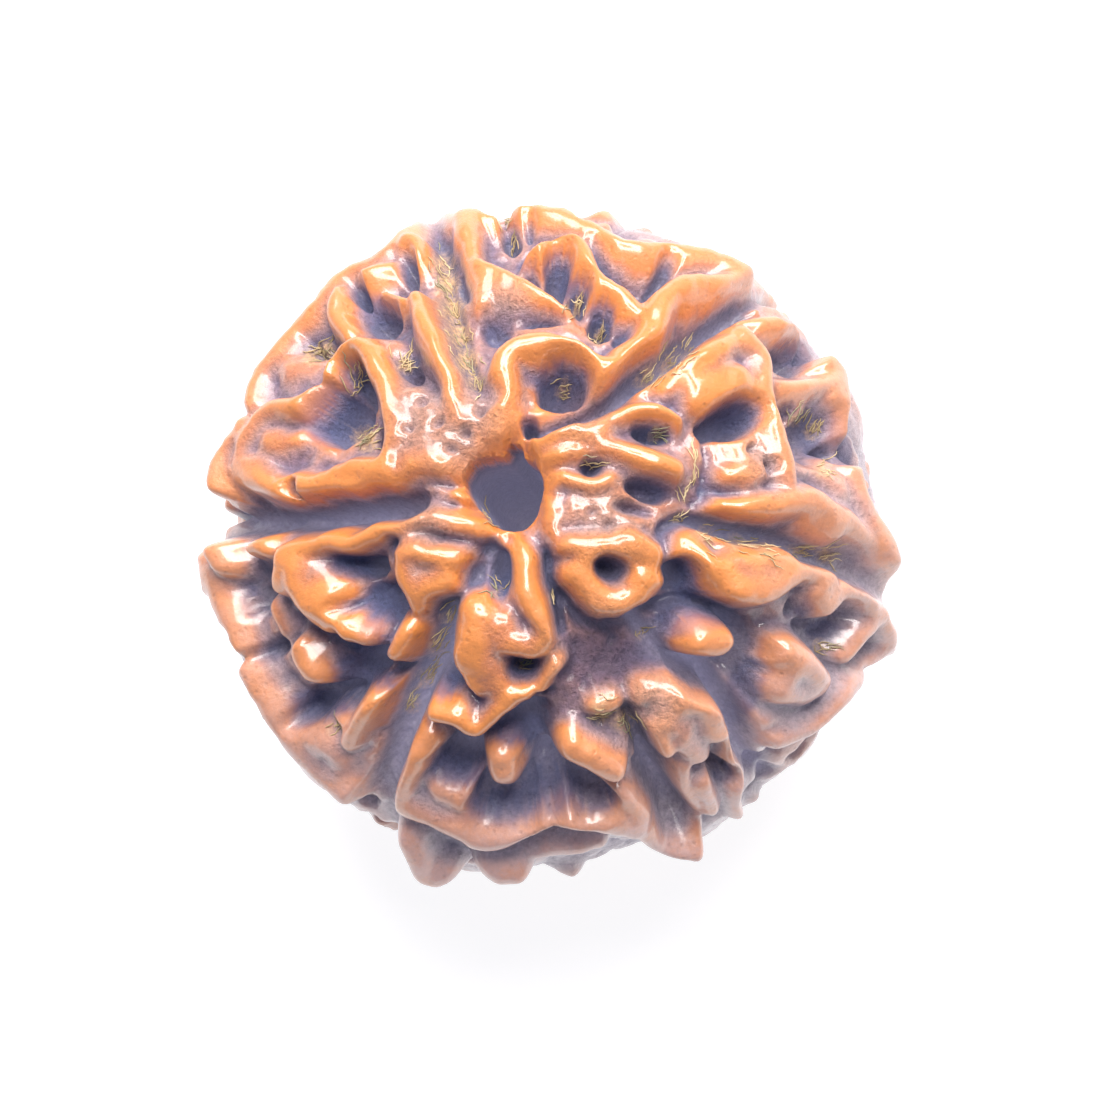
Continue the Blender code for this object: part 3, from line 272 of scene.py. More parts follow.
        (505, 804, 44, 22, 0, -1.8), (590, 800, 28, 15, 0, -1.4), (722, 773, 12, 12, 30, -1.2),
        (395, 542, 12, 9, 0, -0.5), (355, 567, 27, 14, 0, -1.6), (386, 603, 21, 24, 0, -1.8),
        (373, 645, 20, 30, 0, -1.6), (347, 608, 11, 9, 0, -0.7), (252, 603, 11, 21, 0, -1.1),
        (267, 650, 18, 16, 0, -0.6), (320, 703, 38, 16, 0, -1.4), (304, 715, 16, 14, 0, -1.1),
        (355, 672, 26, 19, 0, -1.5), (386, 680, 15, 13, 0, -1.5),
        (589, 464, 14, 10, 20, -0.3), (655, 433, 26, 10, -10, -0.7), (656, 487, 33, 16, -10, -0.7),
        (640, 507, 35, 12, 0, -0.2), (610, 569, 19, 14, 0, -0.4), (530, 423, 10, 11, 0, -1.1),
        (588, 512, 6, 5, 0, 0.1), (606, 529, 8, 5, 20, 0.1), (628, 511, 8, 6, 0, 0.0),
        (646, 528, 7, 5, 0, 0.0), (420, 403, 7, 6, 0, 0.1), (440, 424, 8, 5, 30, 0.1),
        (465, 432, 7, 6, 0, 0.0), (411, 432, 6, 5, 0, 0.2), (482, 412, 6, 7, 0, 0.0),
        (450, 449, 8, 5, -20, 0.1), (748, 450, 8, 6, 20, 0.1), (766, 468, 6, 8, 0, 0.1),
    ],
    # knobs that stand free in hollows, raised last
    "knobs": [
        (0.60, [(500, 768, 0.45), (502, 783, 0.45)]),
        (0.46, [(705, 646, 0.75), (731, 648, 0.72)]),
        (0.52, [(575, 756, 0.85), (596, 766, 0.95), (614, 777, 0.9)]),
        (0.50, [(806, 664, 0.8), (820, 675, 0.9), (828, 688, 0.8)]),
        (0.45, [(800, 676, 0.8), (792, 696, 0.75), (812, 698, 0.7)]),
        (0.50, [(735, 568, 0.8), (765, 570, 0.9), (795, 567, 0.8)]),
        (0.45, [(828, 592, 0.8), (833, 606, 0.7)]),
        (0.50, [(672, 724, 0.75), (688, 732, 0.75)]),
        (0.60, [(478, 648, 0.85), (484, 668, 0.75)]),
        (0.45, [(505, 646, 0.75), (532, 650, 0.7)]),
        (0.70, [(277, 577, 0.85), (297, 597, 0.85), (322, 620, 0.75)]),
        (0.60, [(298, 570, 0.8), (322, 596, 0.8)]),
        (0.40, [(342, 633, 0.75), (357, 638, 0.7)]),
        (0.75, [(472, 618, 0.8), (471, 655, 0.8)]),
        (0.55, [(402, 546, 0.7), (428, 556, 0.75), (450, 556, 0.65)]),
        (0.50, [(418, 590, 0.7), (442, 580, 0.65)]),
        (0.48, [(577, 572, 0.7), (588, 592, 0.72), (610, 603, 0.72), (635, 597, 0.72), (650, 577, 0.75)]),
        (0.42, [(294, 655, 0.7), (305, 680, 0.7)]),
        (0.34, [(403, 630, 0.65), (394, 646, 0.7), (388, 658, 0.65)]),
    ],
    "widthTrim": 0.92,        # the ridges as read from the photo are a little wide
    "sideSlope": 3.0,         # of a ridge under its round crest
    "softness": {"ridge": 0.35, "valley": 0.3, "pit": 0.2},  # of the blend where two shapes meet
    "pitRim": 0.9,            # the level at which a pit or a valley opens
    "pitMouth": 0.3,          # the level that a pit's oval is traced at
    "rimSwell": (0.6, 0.3),   # extra round the outline of the photo, and the cosine it fades over
    "restLip": (2.35, 0.75, 0.75),  # the ring that the bead rests on: radius, half width, level
    "lowerClefts": {"left": 180, "upper left": 108, "upper right": 36, "right": -36, "lower left": -108},
    "lowerLevels": (-1.6, -1.7, -1.6, -1.5, -1.3, -1.1, -0.9, -0.5),  # the clefts' floors, downwards
    "lowerEnd": 168,          # degrees off the axis where the clefts end
    "cleftSway": 4.0,         # degrees
    "cleftLips": 0.45,        # the level that clefts and valleys are traced at, between their lips
    "straightShare": 0.25,    # a cleft goes straight down under the outline for this share of its way
}

# The web of ridges, knobs and pits on the sides that the photo doesn't show
web = {
    "seed": 5,
    "tries": 6000,
    "spacing": 1.95,          # from knob to knob
    "offAxis": 3.3,           # no knob stands nearer to the hole's axis
    "knobGap": 1.2,           # from a knob to the lines traced from the photo
    "unseen": 0.08,           # cosines to the view, below which knobs and pits are placed
    "slanted": 0.33,
    "reach": 1.6,             # knobs nearer than this many spacings may be joined by a ridge
    "chance": 0.55,
    "bend": 0.14,
    "wobble": 0.16,
    "halfWidths": (0.36, 0.58),
    "crestLow": (0.45, 0.25, 0.45),  # lowest and highest levels, at both ends and between them
    "crestHigh": (1.0, 0.85, 1.0),
    "rimDrop": (0.55, 0.15, 0.2),  # by how much lower, at which cosine to the view, over what reach
    "pitSpacing": 1.5,
    "pitOffAxis": 4.2,
    "pitClearance": 0.6,      # at least this far from every ridge
    "pitRadius": 0.85,        # at most
    "pitFloors": (-1.7, -0.9),
}


middle = np.array([*stone["axisPlace"], stone["restDepth"]])


def viewAxes():
    tilt, turn = math.radians(view["tilt"]), math.radians(view["turn"])
    back = np.array([math.sin(tilt) * math.cos(turn), math.sin(tilt) * math.sin(turn), math.cos(tilt)])
    up = np.array([0.0, 1.0, 0.0]) - back[1] * back
    up /= np.linalg.norm(up)
    return np.cross(up, back), up, back


right, up, back = viewAxes()
half = view["photoSize"] / 2
eye = (view["distance"] * back + (half - view["beadPixel"][0]) / view["pixelsPerMm"] * right
       + (view["beadPixel"][1] - half) / view["pixelsPerMm"] * up)


def photoRay(x, y):
    # from the eye through a pixel, in millimetres round the bead's middle
    across = (x - view["beadPixel"][0]) / view["pixelsPerMm"]
    above = (view["beadPixel"][1] - y) / view["pixelsPerMm"]
    return across * right + above * up - eye


def onSkin(way):
    # the point of the level 0 spheroid in the direction of way
    across = (way[..., 0] ** 2 + way[..., 1] ** 2) / stone["radius"] ** 2
    return way / np.sqrt(across + way[..., 2] ** 2 / stone["height"] ** 2)[..., None]


def rimSwell(ways):
    rise, reach = stone["rimSwell"]
    return rise * np.exp(-(ways @ back / reach) ** 2)


def spot(x, y, level):
    # where a pixel's ray meets the spheroid raised to level, or passes it nearest
    ray = photoRay(x, y)
    swell = 0.0
    for _ in range(6):
        size = np.array([stone["radius"], stone["radius"], stone["height"]]) + level + swell
        start, step = eye / size, ray / size
        nearest = -(start @ step) / (step @ step)
        spare = nearest ** 2 - (start @ start - 1.0) / (step @ step)
        hit = eye + (nearest - math.sqrt(max(spare, 0.0))) * ray
        way = hit / np.linalg.norm(hit)
        swell = (swell + rimSwell(way)) / 2
    return onSkin(way)


def smoothLine(knots, steps=3):
    knots = np.array(knots, float)
    padded = np.vstack([2 * knots[0] - knots[1], knots, 2 * knots[-1] - knots[-2]])
    curve = []
    for a, b, c, d in zip(padded, padded[1:], padded[2:], padded[3:]):
        for t in np.arange(steps) / steps:
            curve.append(0.5 * (2 * b + (c - a) * t + (2 * a - 5 * b + 4 * c - d) * t ** 2
                                + (3 * b - a - 3 * c + d) * t ** 3))
    curve.append(knots[-1])
    return curve


def traced(knots, lowest=-9.0):
    curve = smoothLine(knots)
    line = np.array([spot(x, y, max(level, lowest)) for x, y, level in curve])
    return line, np.array([level for x, y, level in curve])


def offLine(points, line, levels):
    # how far each point is from the line, and the line's level there
    nearest = np.full(len(points), np.inf)
    level = np.zeros(len(points))
    for a, b, low, high in zip(line, line[1:], levels, levels[1:]):
        along = np.clip((points - a) @ (b - a) / ((b - a) @ (b - a)), 0.0, 1.0)
        gap = np.linalg.norm(points - a - along[:, None] * (b - a), axis=1)
        closer = gap < nearest
        nearest[closer] = gap[closer]
        level[closer] = (low + along * (high - low))[closer]
    return nearest, level


def around(points, line, reach):
    # the points in a ball that holds the line and its reach
    centre = line.mean(axis=0)
    radius = np.linalg.norm(line - centre, axis=1).max() + reach
    return np.flatnonzero(np.linalg.norm(points - centre, axis=1) < radius)


def blendUp(a, b, soft):
    return np.maximum(a, b) + np.maximum(soft - np.abs(a - b), 0.0) ** 2 / (4 * soft)


def blendDown(a, b, soft):
    return -blendUp(-a, -b, soft)


def raiseRidge(points, height, halfWidth, line, levels):
    # a round crest whose sides steepen as they fall
    halfWidth *= stone["widthTrim"]
    near = around(points, line, 3.0 * halfWidth + 0.6)
    gap, level = offLine(points[near], line, levels)
    q = gap / halfWidth
    fall = np.where(q < 1, 0.5 * q ** 2 + 0.5 * q ** 4, 1 + stone["sideSlope"] * (q - 1))
    height[near] = blendUp(height[near], level - halfWidth * fall, stone["softness"]["ridge"])


def sinkValley(points, height, halfWidth, line, levels):
    near = around(points, line, 2.0 * halfWidth)
    gap, level = offLine(points[near], line, levels)
    floor = level + (stone["pitRim"] - level) * (gap / halfWidth) ** 2
    height[near] = blendDown(height[near], floor, stone["softness"]["valley"])


def scoop(height, near, q, level):
    # a bowl whose edge is at q = 1
    floor = level + (stone["pitRim"] - level) * q ** 3
    height[near] = blendDown(height[near], floor, stone["softness"]["pit"])


def sinkPit(points, height, x, y, halfWidth, halfHeight, turn, level):
    # a pit whose mouth is an oval as the photo shows it
    turn, mouth = math.radians(turn), stone["pitMouth"]
    centre = spot(x, y, mouth)
    wide = spot(x + halfWidth * math.cos(turn), y - halfWidth * math.sin(turn), mouth) - centre
    tall = spot(x + halfHeight * math.sin(turn), y + halfHeight * math.cos(turn), mouth) - centre
    near = around(points, np.array([centre, centre + wide, centre + tall]), 0.6)
    oval = np.linalg.solve(np.array([wide, tall, np.cross(wide, tall)]).T, (points[near] - centre).T)
    scoop(height, near, np.hypot(oval[0], oval[1]), level)


def sinkHollow(points, height, centre, radius, level):
    # a round pit
    near = around(points, centre[None], 1.6 * radius)
    scoop(height, near, np.linalg.norm(points[near] - centre, axis=1) / radius, level)


def ripple(points, wavelength, seed, count=24):
    # smooth uneven waves with a spread of about 1
    rng = np.random.default_rng(seed)
    ways = rng.normal(size=(count, 3))
    ways /= np.linalg.norm(ways, axis=1)[:, None]
    ways *= (2 * math.pi / wavelength * rng.uniform(0.7, 1.4, count))[:, None]
    starts = rng.uniform(0.0, 2 * math.pi, count)
    return np.sin(points @ ways.T + starts).sum(axis=1) / math.sqrt(count / 2)


def polarPoint(azimuth, polar):
    azimuth, polar = math.radians(azimuth), math.radians(polar)
    return onSkin(np.array([math.sin(polar) * math.cos(azimuth), math.sin(polar) * math.sin(azimuth),
                            math.cos(polar)]))


def lowerCleft(start, azimuth):
    # from the photo's outline on to the lower mouth
    first = math.degrees(math.atan2(start[1], start[0]))
    drop = math.degrees(math.acos(start[2] / np.linalg.norm(start)))
    swing = (azimuth - first + 180) % 360 - 180
    shares = np.linspace(0.0, 1.0, len(stone["lowerLevels"]) + 1)
    turns = np.clip((shares - stone["straightShare"]) / (1 - stone["straightShare"]), 0, 1)
    return np.array([polarPoint(first + swing * turn + stone["cleftSway"] * math.sin(2 * math.pi * turn),
                                drop + (stone["lowerEnd"] - drop) * share)
                     for share, turn in zip(shares, turns)])


def scattered(rng, spacing, offAxis):
    kept = []
    for way in rng.normal(size=(web["tries"], 3)):
        point = onSkin(way / np.linalg.norm(way))
        if math.hypot(point[0], point[1]) < offAxis:
            continue
        if all(np.linalg.norm(point - other) >= spacing for other in kept):
            kept.append(point)
    return np.array(kept)


def cosineToView(points):
    return points @ back / np.linalg.norm(points, axis=1)


def nearestLine(points, lines):
    return np.min([offLine(points, line, levels)[0] for line, levels in lines], axis=0)


def webShapes():
    rng = np.random.default_rng(web["seed"])
    seenLines = [traced(knots) for face in stone["ridges"].values() for _, knots in face]
    knobs = scattered(rng, web["spacing"], web["offAxis"])
    free = nearestLine(knobs, seenLines) > web["knobGap"]
    knobs = knobs[cosineToView(knobs) < np.where(free, web["slanted"], web["unseen"])]
    drop, dropAt, dropReach = web["rimDrop"]
    ridges = []
    for i, a in enumerate(knobs):
        for b in knobs[i + 1:]:
            length = np.linalg.norm(a - b)
            if length < web["reach"] * web["spacing"] and rng.random() < web["chance"]:
                bend = (a + b) / 2 + rng.normal(size=3) * web["bend"] * length
                line = np.array([a, onSkin(bend / np.linalg.norm(bend)), b])
                levels = rng.uniform(web["crestLow"], web["crestHigh"])
                ways = line / np.linalg.norm(line, axis=1)[:, None]
                levels -= rimSwell(ways) + drop * np.exp(-((ways @ back - dropAt) / dropReach) ** 2)
                ridges.append((rng.uniform(*web["halfWidths"]), line, levels))
    hollows = scattered(rng, web["pitSpacing"], web["pitOffAxis"])
    hollows = hollows[cosineToView(hollows) < web["slanted"]]
    clear = nearestLine(hollows, seenLines + [ridge[1:] for ridge in ridges])
    pits = [(point, min(gap, web["pitRadius"]), rng.uniform(*web["pitFloors"]))
            for point, gap in zip(hollows, clear) if gap > web["pitClearance"]]
    return ridges, pits


def mouthRadius(azimuth):
    places = np.array([spot(x, y, stone["mouthLevel"]) for x, y in stone["mouth"]])
    angles = np.arctan2(places[:, 1], places[:, 0])
    order = np.argsort(angles)
    return np.interp(azimuth, angles[order], np.hypot(places[:, 0], places[:, 1])[order],
                     period=2 * math.pi)


def relief(ways):
    # radius of the stone in each direction
    points = onSkin(ways)
    crooked, wavelength, seeds = stone["crooked"]
    wobble = np.stack([ripple(points, wavelength, seed) for seed in seeds], axis=1)
    seen = points + crooked * wobble
    hidden = points + web["wobble"] * wobble
    depth, wavelength, seed = stone["waves"]
    height = stone["skinLevel"] + depth * ripple(points, wavelength, seed)
    for x, y, reach, rise in stone["ground"]:
        height += rise * np.exp(-(np.linalg.norm(points - spot(x, y, 0.0), axis=1) / reach) ** 2)
    offAxis = np.hypot(points[:, 0], points[:, 1])
    dimple, dimpleReach = stone["dimple"]
    height -= dimple * np.exp(-(offAxis / dimpleReach) ** 2)
    webRidges, webPits = webShapes()
    for halfWidth, line, levels in webRidges:
        raiseRidge(hidden, height, halfWidth, line, levels)
    lipRadius, lipWidth, lipLevel = stone["restLip"]
    lipPolar = 180 - math.degrees(math.atan2(lipRadius, stone["restDepth"]))
    lip = np.array([polarPoint(azimuth, lipPolar) for azimuth in range(0, 375, 15)])
    raiseRidge(seen, height, lipWidth, lip, np.full(len(lip), lipLevel))
    for face in stone["ridges"].values():
        for halfWidth, knots in face:
            raiseRidge(seen, height, halfWidth, *traced(knots))
    for halfWidth, knots in stone["valleys"] + [stone["fold"]]:
        sinkValley(seen, height, halfWidth, *traced(knots, stone["cleftLips"]))
    for name, (halfWidth, knots) in stone["clefts"].items():
        line, levels = traced(knots, stone["cleftLips"])
        sinkValley(seen, height, halfWidth, line, levels)
        sinkValley(seen, height, halfWidth, lowerCleft(line[-1], stone["lowerClefts"][name]),
                   (levels[-1],) + stone["lowerLevels"])
    for pit in stone["pits"]:
        sinkPit(seen, height, *pit)
    for pit in webPits:
        sinkHollow(hidden, height, *pit)
    for halfWidth, knots in stone["knobs"]:
        raiseRidge(seen, height, halfWidth, *traced(knots))
    height += rimSwell(ways)
    mouth = np.where(points[:, 2] > 0, mouthRadius(np.arctan2(points[:, 1], points[:, 0])), bore["lower"])
    drop, reach = stone["lip"]
    height -= drop * np.exp(-np.maximum(offAxis - mouth, 0.0) / reach)
    radius = np.linalg.norm(points, axis=1) + height
    return np.minimum(radius, stone["restDepth"] / np.maximum(-ways[:, 2], 1e-6))


# Shared by the pieces and their materials

def meshOf(name, shape):
    mesh = bpy.data.meshes.new(name)
    shape.to_mesh(mesh)
    shape.free()
    return mesh


def inScene(name, data):
    piece = bpy.data.objects.new(name, data)
    bpy.context.scene.collection.objects.link(piece)
    return piece


def newMaterial(name):
    material = bpy.data.materials.new(name)
    material.use_nodes = True
    tree = material.node_tree
    return material, tree, tree.nodes["Principled BSDF"]


def give(shader, values):
    # fixed values, on the shader's own sockets
    for socket, value in values.items():
        shader.inputs[socket].default_value = value


def linear(hexColour):
    values = [int(hexColour[i:i + 2], 16) / 255 for i in (1, 3, 5)]
    return [v / 12.92 if v <= 0.04045 else ((v + 0.055) / 1.055) ** 2.4 for v in values] + [1.0]


def addNode(tree, kind, settings=None, links=None):
    # settings go to the node's own properties or to its sockets; links go to its sockets
    node = tree.nodes.new(kind)
    for name, value in (settings or {}).items():
        if isinstance(name, str) and hasattr(node, name):
            setattr(node, name, value)
        else:
            node.inputs[name].default_value = value
    for name, socket in (links or {}).items():
        tree.links.new(socket, node.inputs[name])
    return node


def fillRamp(node, stops):
    ramp = node.color_ramp
    while len(ramp.elements) < len(stops):
        ramp.elements.new(0.5)
    for element, (place, colour) in zip(ramp.elements, stops):
        element.position = place
        element.color = linear(colour)


# Four numbers with no words of their own are a range and what it becomes: from, to, first value, last value
woodLook = {
    "levels": (-1.5, 1.0),     # the relief's levels that the colours run over, in millimetres
    "levelShare": 0.6,
    "cavityShadeShare": 1.5,        # for each millimetre that a place stands over its surroundings
    "blotchShare": 0.6,
    "blotchScale": 0.1,        # of the grain's
    # from the hollows to the crests: the slate low end is partly the wood's own tone, partly painted shade
    "colours": [(0.0, "#646580"), (0.14, "#73677c"), (0.26, "#826a78"), (0.38, "#997a7e"),
                (0.5, "#b38982"), (0.64, "#c0886e"), (0.8, "#c87a48"), (1.0, "#de8a40")],
    "fibre": ("#c9a67c", 0.18, 0.5),  # from none to full between these shares of it
    "fibreReach": 1.2,         # how far round its fibres the wood is tan too
    # dust on the cleft floors: partly real dust, partly painted light that lifts their shade
    "dustAndPaintedLight": "#9a94a4",
    "dustAndLightFrom": (1.15, 0.3, 1.2, 0.7),  # reach in half widths, depth where it starts, its growth and most
    "crumbs": ("#8c707c", "#ecc8b6", -0.4, 0.5),  # low and high, and the levels between which they change
    "crumbShare": (1.1, -0.1, 0.0, 0.75),         # none at the first level, this share at the second
    "paintedSideLight": ("#c6bac0", 0.9),   # painted reflection and light: a pale grey-pink on the sides, and its full share
    "sideLightPolar": (48, 94),      # degrees off the hole's axis over which it grows
    "sideLightLower": (0.8, 0.2, 1.6),  # it is stronger towards the lower edge of the view: slope, least and most
    "sideLightBlotch": (0.3, 0.6, 0.35, 1.0),  # in blotches
    "offCrest": (0.25, -0.05, 0.65, 1.0),  # less of it on the crests
    # painted light: a faint glow that lifts the shade in the hollows: its colour, full strength, first and
    # full level
    "paintedHollowLight": ("#6d6a80", 0.56, -0.6, -1.9),
    "paintedLightOnDust": 0.45,             # more of it where dust lies
    # painted shade: a dark slate over the pits' floors, fuller in deeper pits
    "paintedPitShade": ("#525c82", 0.78),    # the dark bottoms of the pits, and its full share
    "pitShadeFull": (-1.4, 0.9),      # the floor level of a pit that has it in full, and the level where it ends
    # painted shade in the darkest hollows that are no pits: pixel, half width and half height in pixels,
    # turn, floor level
    "shadedHollows": [(690, 620, 50, 17, 8, -1.2), (742, 690, 20, 40, -20, -1.2), (640, 655, 28, 20, 0, -0.8)],
    "roughFrom": (0.22, -0.05, 0.2, 0.7),  # heights over the surroundings where wear turns to rough wood
    "ruggedFrom": (1.2, 0.9),     # crumbly wood reaches up to these levels
    "speckle": (0.3, 0.7, 0.62, 1.4),    # how the grain darkens and lightens rough wood
    "poreTone": (0.0, 0.3, 0.86, 1.02),
    "grainMm": 0.16,
    "grainDepth": 0.17,           # of its bumps, in millimetres
    "poreMm": 0.3,
    "poreDepth": 0.05,
    "roughness": (-0.2, 0.1, 0.75, 0.38),  # matt in the hollows, satin on the crests
    "coat": (-0.25, 0.05, 0.25, 1.0),      # the oil's gloss, less in the hollows,
    "coatOnPitShade": (0.0, 0.5, 1.0, 0.1),    # in the pits
    "coatOnCrumbs": (0.0, 0.5, 1.0, 0.2),  # and on low crumbly wood
    "crumbsLow": (0.5, -0.3),     # between these levels
    "coatRoughness": 0.16,
    "coatIor": 1.75,
    "sheen": ("#cfd0ee", 0.12),   # the dusty bloom at a slant
}


def oiledWoodMaterial():
    # the hard wood of a fruit stone, brushed clean and oiled: orange crests worn smooth and glossy,
    # lilac brown slopes, slate hollows that are partly the wood's own tone and partly painted shade, tan
    # fibre along the seams
    look = woodLook
    material, tree, shader = newMaterial("oiled rudraksha wood")
    place = addNode(tree, "ShaderNodeTexCoord").outputs["Object"]
    # the attributes carry painted light on the sides, dust with painted light and painted shade in the pits
    level, fibre, cavity, dustAndPaintedLight, sideLight, rugged, paintedPitShade = [
        addNode(tree, "ShaderNodeAttribute", {"attribute_name": name}).outputs["Fac"]
        for name in ("level", "fibre", "cavity", "dustAndPaintedLight", "sideLight", "rugged", "paintedPitShade")]
    perMm = 1 / (look["grainMm"] * mm)

    def noise(scale, detail, roughness):
        return addNode(tree, "ShaderNodeTexNoise", {"Scale": scale, "Detail": detail, "Roughness": roughness},
                       {"Vector": place}).outputs["Fac"]

    blotch = noise(perMm * look["blotchScale"], 6.0, 0.72)
    grain = noise(perMm, 5.0, 0.7)
    pores = addNode(tree, "ShaderNodeTexVoronoi", {"Scale": 1 / (look["poreMm"] * mm), "Randomness": 1.0},
                    {"Vector": place}).outputs["Distance"]

    def weighed(value, weight, plus):
        # value times weight, plus another value or a number
        node = addNode(tree, "ShaderNodeMath", {"operation": "MULTIPLY_ADD", 1: weight}, {0: value})
        if isinstance(plus, float):
            node.inputs[2].default_value = plus
        else:
            tree.links.new(plus, node.inputs[2])
        return node.outputs["Value"]

    def times(first, second):
        node = addNode(tree, "ShaderNodeMath", {"operation": "MULTIPLY"}, {0: first, 1: second})
        return node.outputs["Value"]

    def spread(value, low, high, toLow=0.0, toHigh=1.0):
        return addNode(tree, "ShaderNodeMapRange", {"From Min": low, "From Max": high, "To Min": toLow,
                       "To Max": toHigh}, {"Value": value}).outputs["Result"]

    def mixed(kind, factor, first, second):
        node = addNode(tree, "ShaderNodeMix", {"data_type": "RGBA", "blend_type": kind})
        for socket, value in ((node.inputs[0], factor), (node.inputs[6], first), (node.inputs[7], second)):
            if isinstance(value, (float, list)):
                socket.default_value = value
            else:
                tree.links.new(value, socket)
        return node.outputs[2]

    def bumped(height, strength, depth, under=None):
        node = addNode(tree, "ShaderNodeBump", {"Strength": strength, "Distance": depth * mm},
                       {"Height": height})
        if under is not None:
            tree.links.new(under, node.inputs["Normal"])
        return node.outputs["Normal"]

    crumbly = times(rugged, spread(level, *look["ruggedFrom"]))
    rough = weighed(spread(cavity, *look["roughFrom"]), 1.0, crumbly)
    # the colours darken to slate in the low places and creases: partly the wood's own tone, partly painted
    # shade
    share = spread(level, *look["levels"], 0.0, look["levelShare"])
    share = weighed(cavity, look["cavityShadeShare"], share)
    share = weighed(blotch, look["blotchShare"], share)
    share = weighed(share, 1.0, 0.05 - look["blotchShare"] / 2 + (1 - look["levelShare"]) / 4)
    body = addNode(tree, "ShaderNodeValToRGB", {}, {"Fac": share})
    fillRamp(body, look["colours"])
    # painted reflection and light: pale grey-pink on the sides, stronger towards the lower edge of the view
    sideLightShare = times(times(sideLight, spread(cavity, *look["offCrest"])), spread(blotch, *look["sideLightBlotch"]))
    sideLit = mixed("MIX", sideLightShare, body.outputs["Color"], linear(look["paintedSideLight"][0]))
    # painted shade in the pits and the darkest hollows
    shaded = mixed("MIX", paintedPitShade, sideLit, linear(look["paintedPitShade"][0]))
    # dust on the cleft floors, pale enough to lift their shade: partly painted light
    dustedAndLit = mixed("MIX", dustAndPaintedLight, shaded, linear(look["dustAndPaintedLight"]))
    low, high, *crumbLevels = look["crumbs"]
    crumbs = times(rugged, spread(level, *look["crumbShare"]))
    crumbColour = mixed("MIX", spread(level, *crumbLevels), linear(low), linear(high))
    crumbled = mixed("MIX", crumbs, dustedAndLit, crumbColour)
    fibreColour, *fibreFrom = look["fibre"]
    tan = mixed("MIX", spread(times(fibre, grain), *fibreFrom), crumbled, linear(fibreColour))
    speckled = mixed("MULTIPLY", rough, tan, spread(grain, *look["speckle"]))
    pored = mixed("MULTIPLY", 1.0, speckled, spread(pores, *look["poreTone"]))
    grained = bumped(times(grain, rough), 1.0, look["grainDepth"])
    pitted = bumped(spread(pores, *look["poreTone"][:2]), 0.4, look["poreDepth"], grained)
    # painted light: an emission that lifts the shade in deep hollows, more where dust lies
    glow, strength, shallow, deep = look["paintedHollowLight"]
    paintedGlow = weighed(dustAndPaintedLight, look["paintedLightOnDust"], spread(level, shallow, deep, 0.0, strength))
    gloss = times(spread(cavity, *look["coat"]), spread(paintedPitShade, *look["coatOnPitShade"]))
    crumbling = times(crumbs, spread(level, *look["crumbsLow"]))
    oiled = times(gloss, spread(crumbling, *look["coatOnCrumbs"]))
    for socket, value in (("Base Color", pored), ("Normal", pitted), ("Emission Strength", paintedGlow),
                          ("Roughness", spread(cavity, *look["roughness"])), ("Coat Weight", oiled)):
        tree.links.new(value, shader.inputs[socket])
    sheenColour, sheen = look["sheen"]
    give(shader, {"Emission Color": linear(glow), "Sheen Weight": sheen, "Sheen Tint": linear(sheenColour),
                  "Coat Roughness": look["coatRoughness"], "Coat IOR": look["coatIor"]})
    return material


# The stone

def surroundings(mesh, level, rounds=30):
    # the level averaged with the neighbours', again and again
    pairs = np.empty(len(mesh.edges) * 2, np.int64)
    mesh.edges.foreach_get("vertices", pairs)
    pairs = pairs.reshape(-1, 2)
    counts = np.bincount(pairs.ravel(), minlength=len(level)).clip(1)
    for _ in range(rounds):
        total = np.bincount(pairs[:, 0], level[pairs[:, 1]], len(level))
        total += np.bincount(pairs[:, 1], level[pairs[:, 0]], len(level))
        level = total / counts
    return level


def photoPixels(points):
    # where the photo shows each point, given in millimetres round the bead's middle
    sight = points - eye
    depth = -(sight @ back)
    scale = view["distance"] * view["pixelsPerMm"] / depth
    return half + (sight @ right) * scale, half - (sight @ up) * scale


# Where the photo shows tan fibre: pixel, reach in pixels, how many fibres, which way they lie in degrees
fibreSpots = [
    (358, 376, 9, 9, 80), (352, 392, 8, 6, 60), (366, 440, 13, 18, 30), (405, 365, 9, 12, 60),
    (310, 357, 10, 10, 20), (325, 350, 10, 10, 10), (443, 262, 14, 9, -75), (447, 285, 14, 10, -75),
    (452, 310, 15, 11, -75), (458, 335, 15, 11, -75), (466, 360, 14, 10, -75), (475, 382, 12, 8, -75),
    (503, 225, 8, 6, 60), (514, 250, 8, 6, 60), (575, 308, 10, 10, 30), (597, 340, 9, 8, 40),
    (562, 392, 10, 8, 20), (645, 380, 12, 10, 35), (665, 366, 12, 10, 35), (685, 355, 10, 8, 35),
    (655, 433, 10, 8, 0), (588, 462, 8, 6, 0), (697, 460, 6, 6, 80), (692, 480, 6, 6, 80),
    (685, 500, 6, 6, 80), (676, 520, 6, 6, 80), (705, 535, 11, 8, -15), (735, 542, 11, 8, -15),
    (765, 550, 11, 8, -15), (795, 548, 10, 9, -15), (825, 555, 10, 9, -15), (795, 420, 8, 8, 60),
    (812, 432, 9, 9, 60), (822, 470, 10, 9, 30), (820, 645, 9, 7, 0), (497, 592, 8, 7, 80),
    (552, 605, 5, 3, 80), (640, 635, 8, 6, 30), (520, 665, 8, 6, 0), (447, 618, 9, 8, 60),
    (436, 648, 10, 10, 60), (425, 678, 10, 10, 60), (412, 705, 10, 8, 60), (600, 712, 14, 8, 0),
    (622, 720, 14, 8, 0), (485, 520, 8, 4, 50), (330, 730, 8, 6, 40),
]


# Where the photo shows rough, crumbly wood: pixel and reach in pixels
ruggedSpots = [(420, 415, 34), (455, 440, 30), (475, 415, 26), (610, 520, 34), (600, 655, 45), (655, 700, 30),
               (760, 455, 24), (505, 300, 24), (585, 415, 24), (425, 520, 24)]


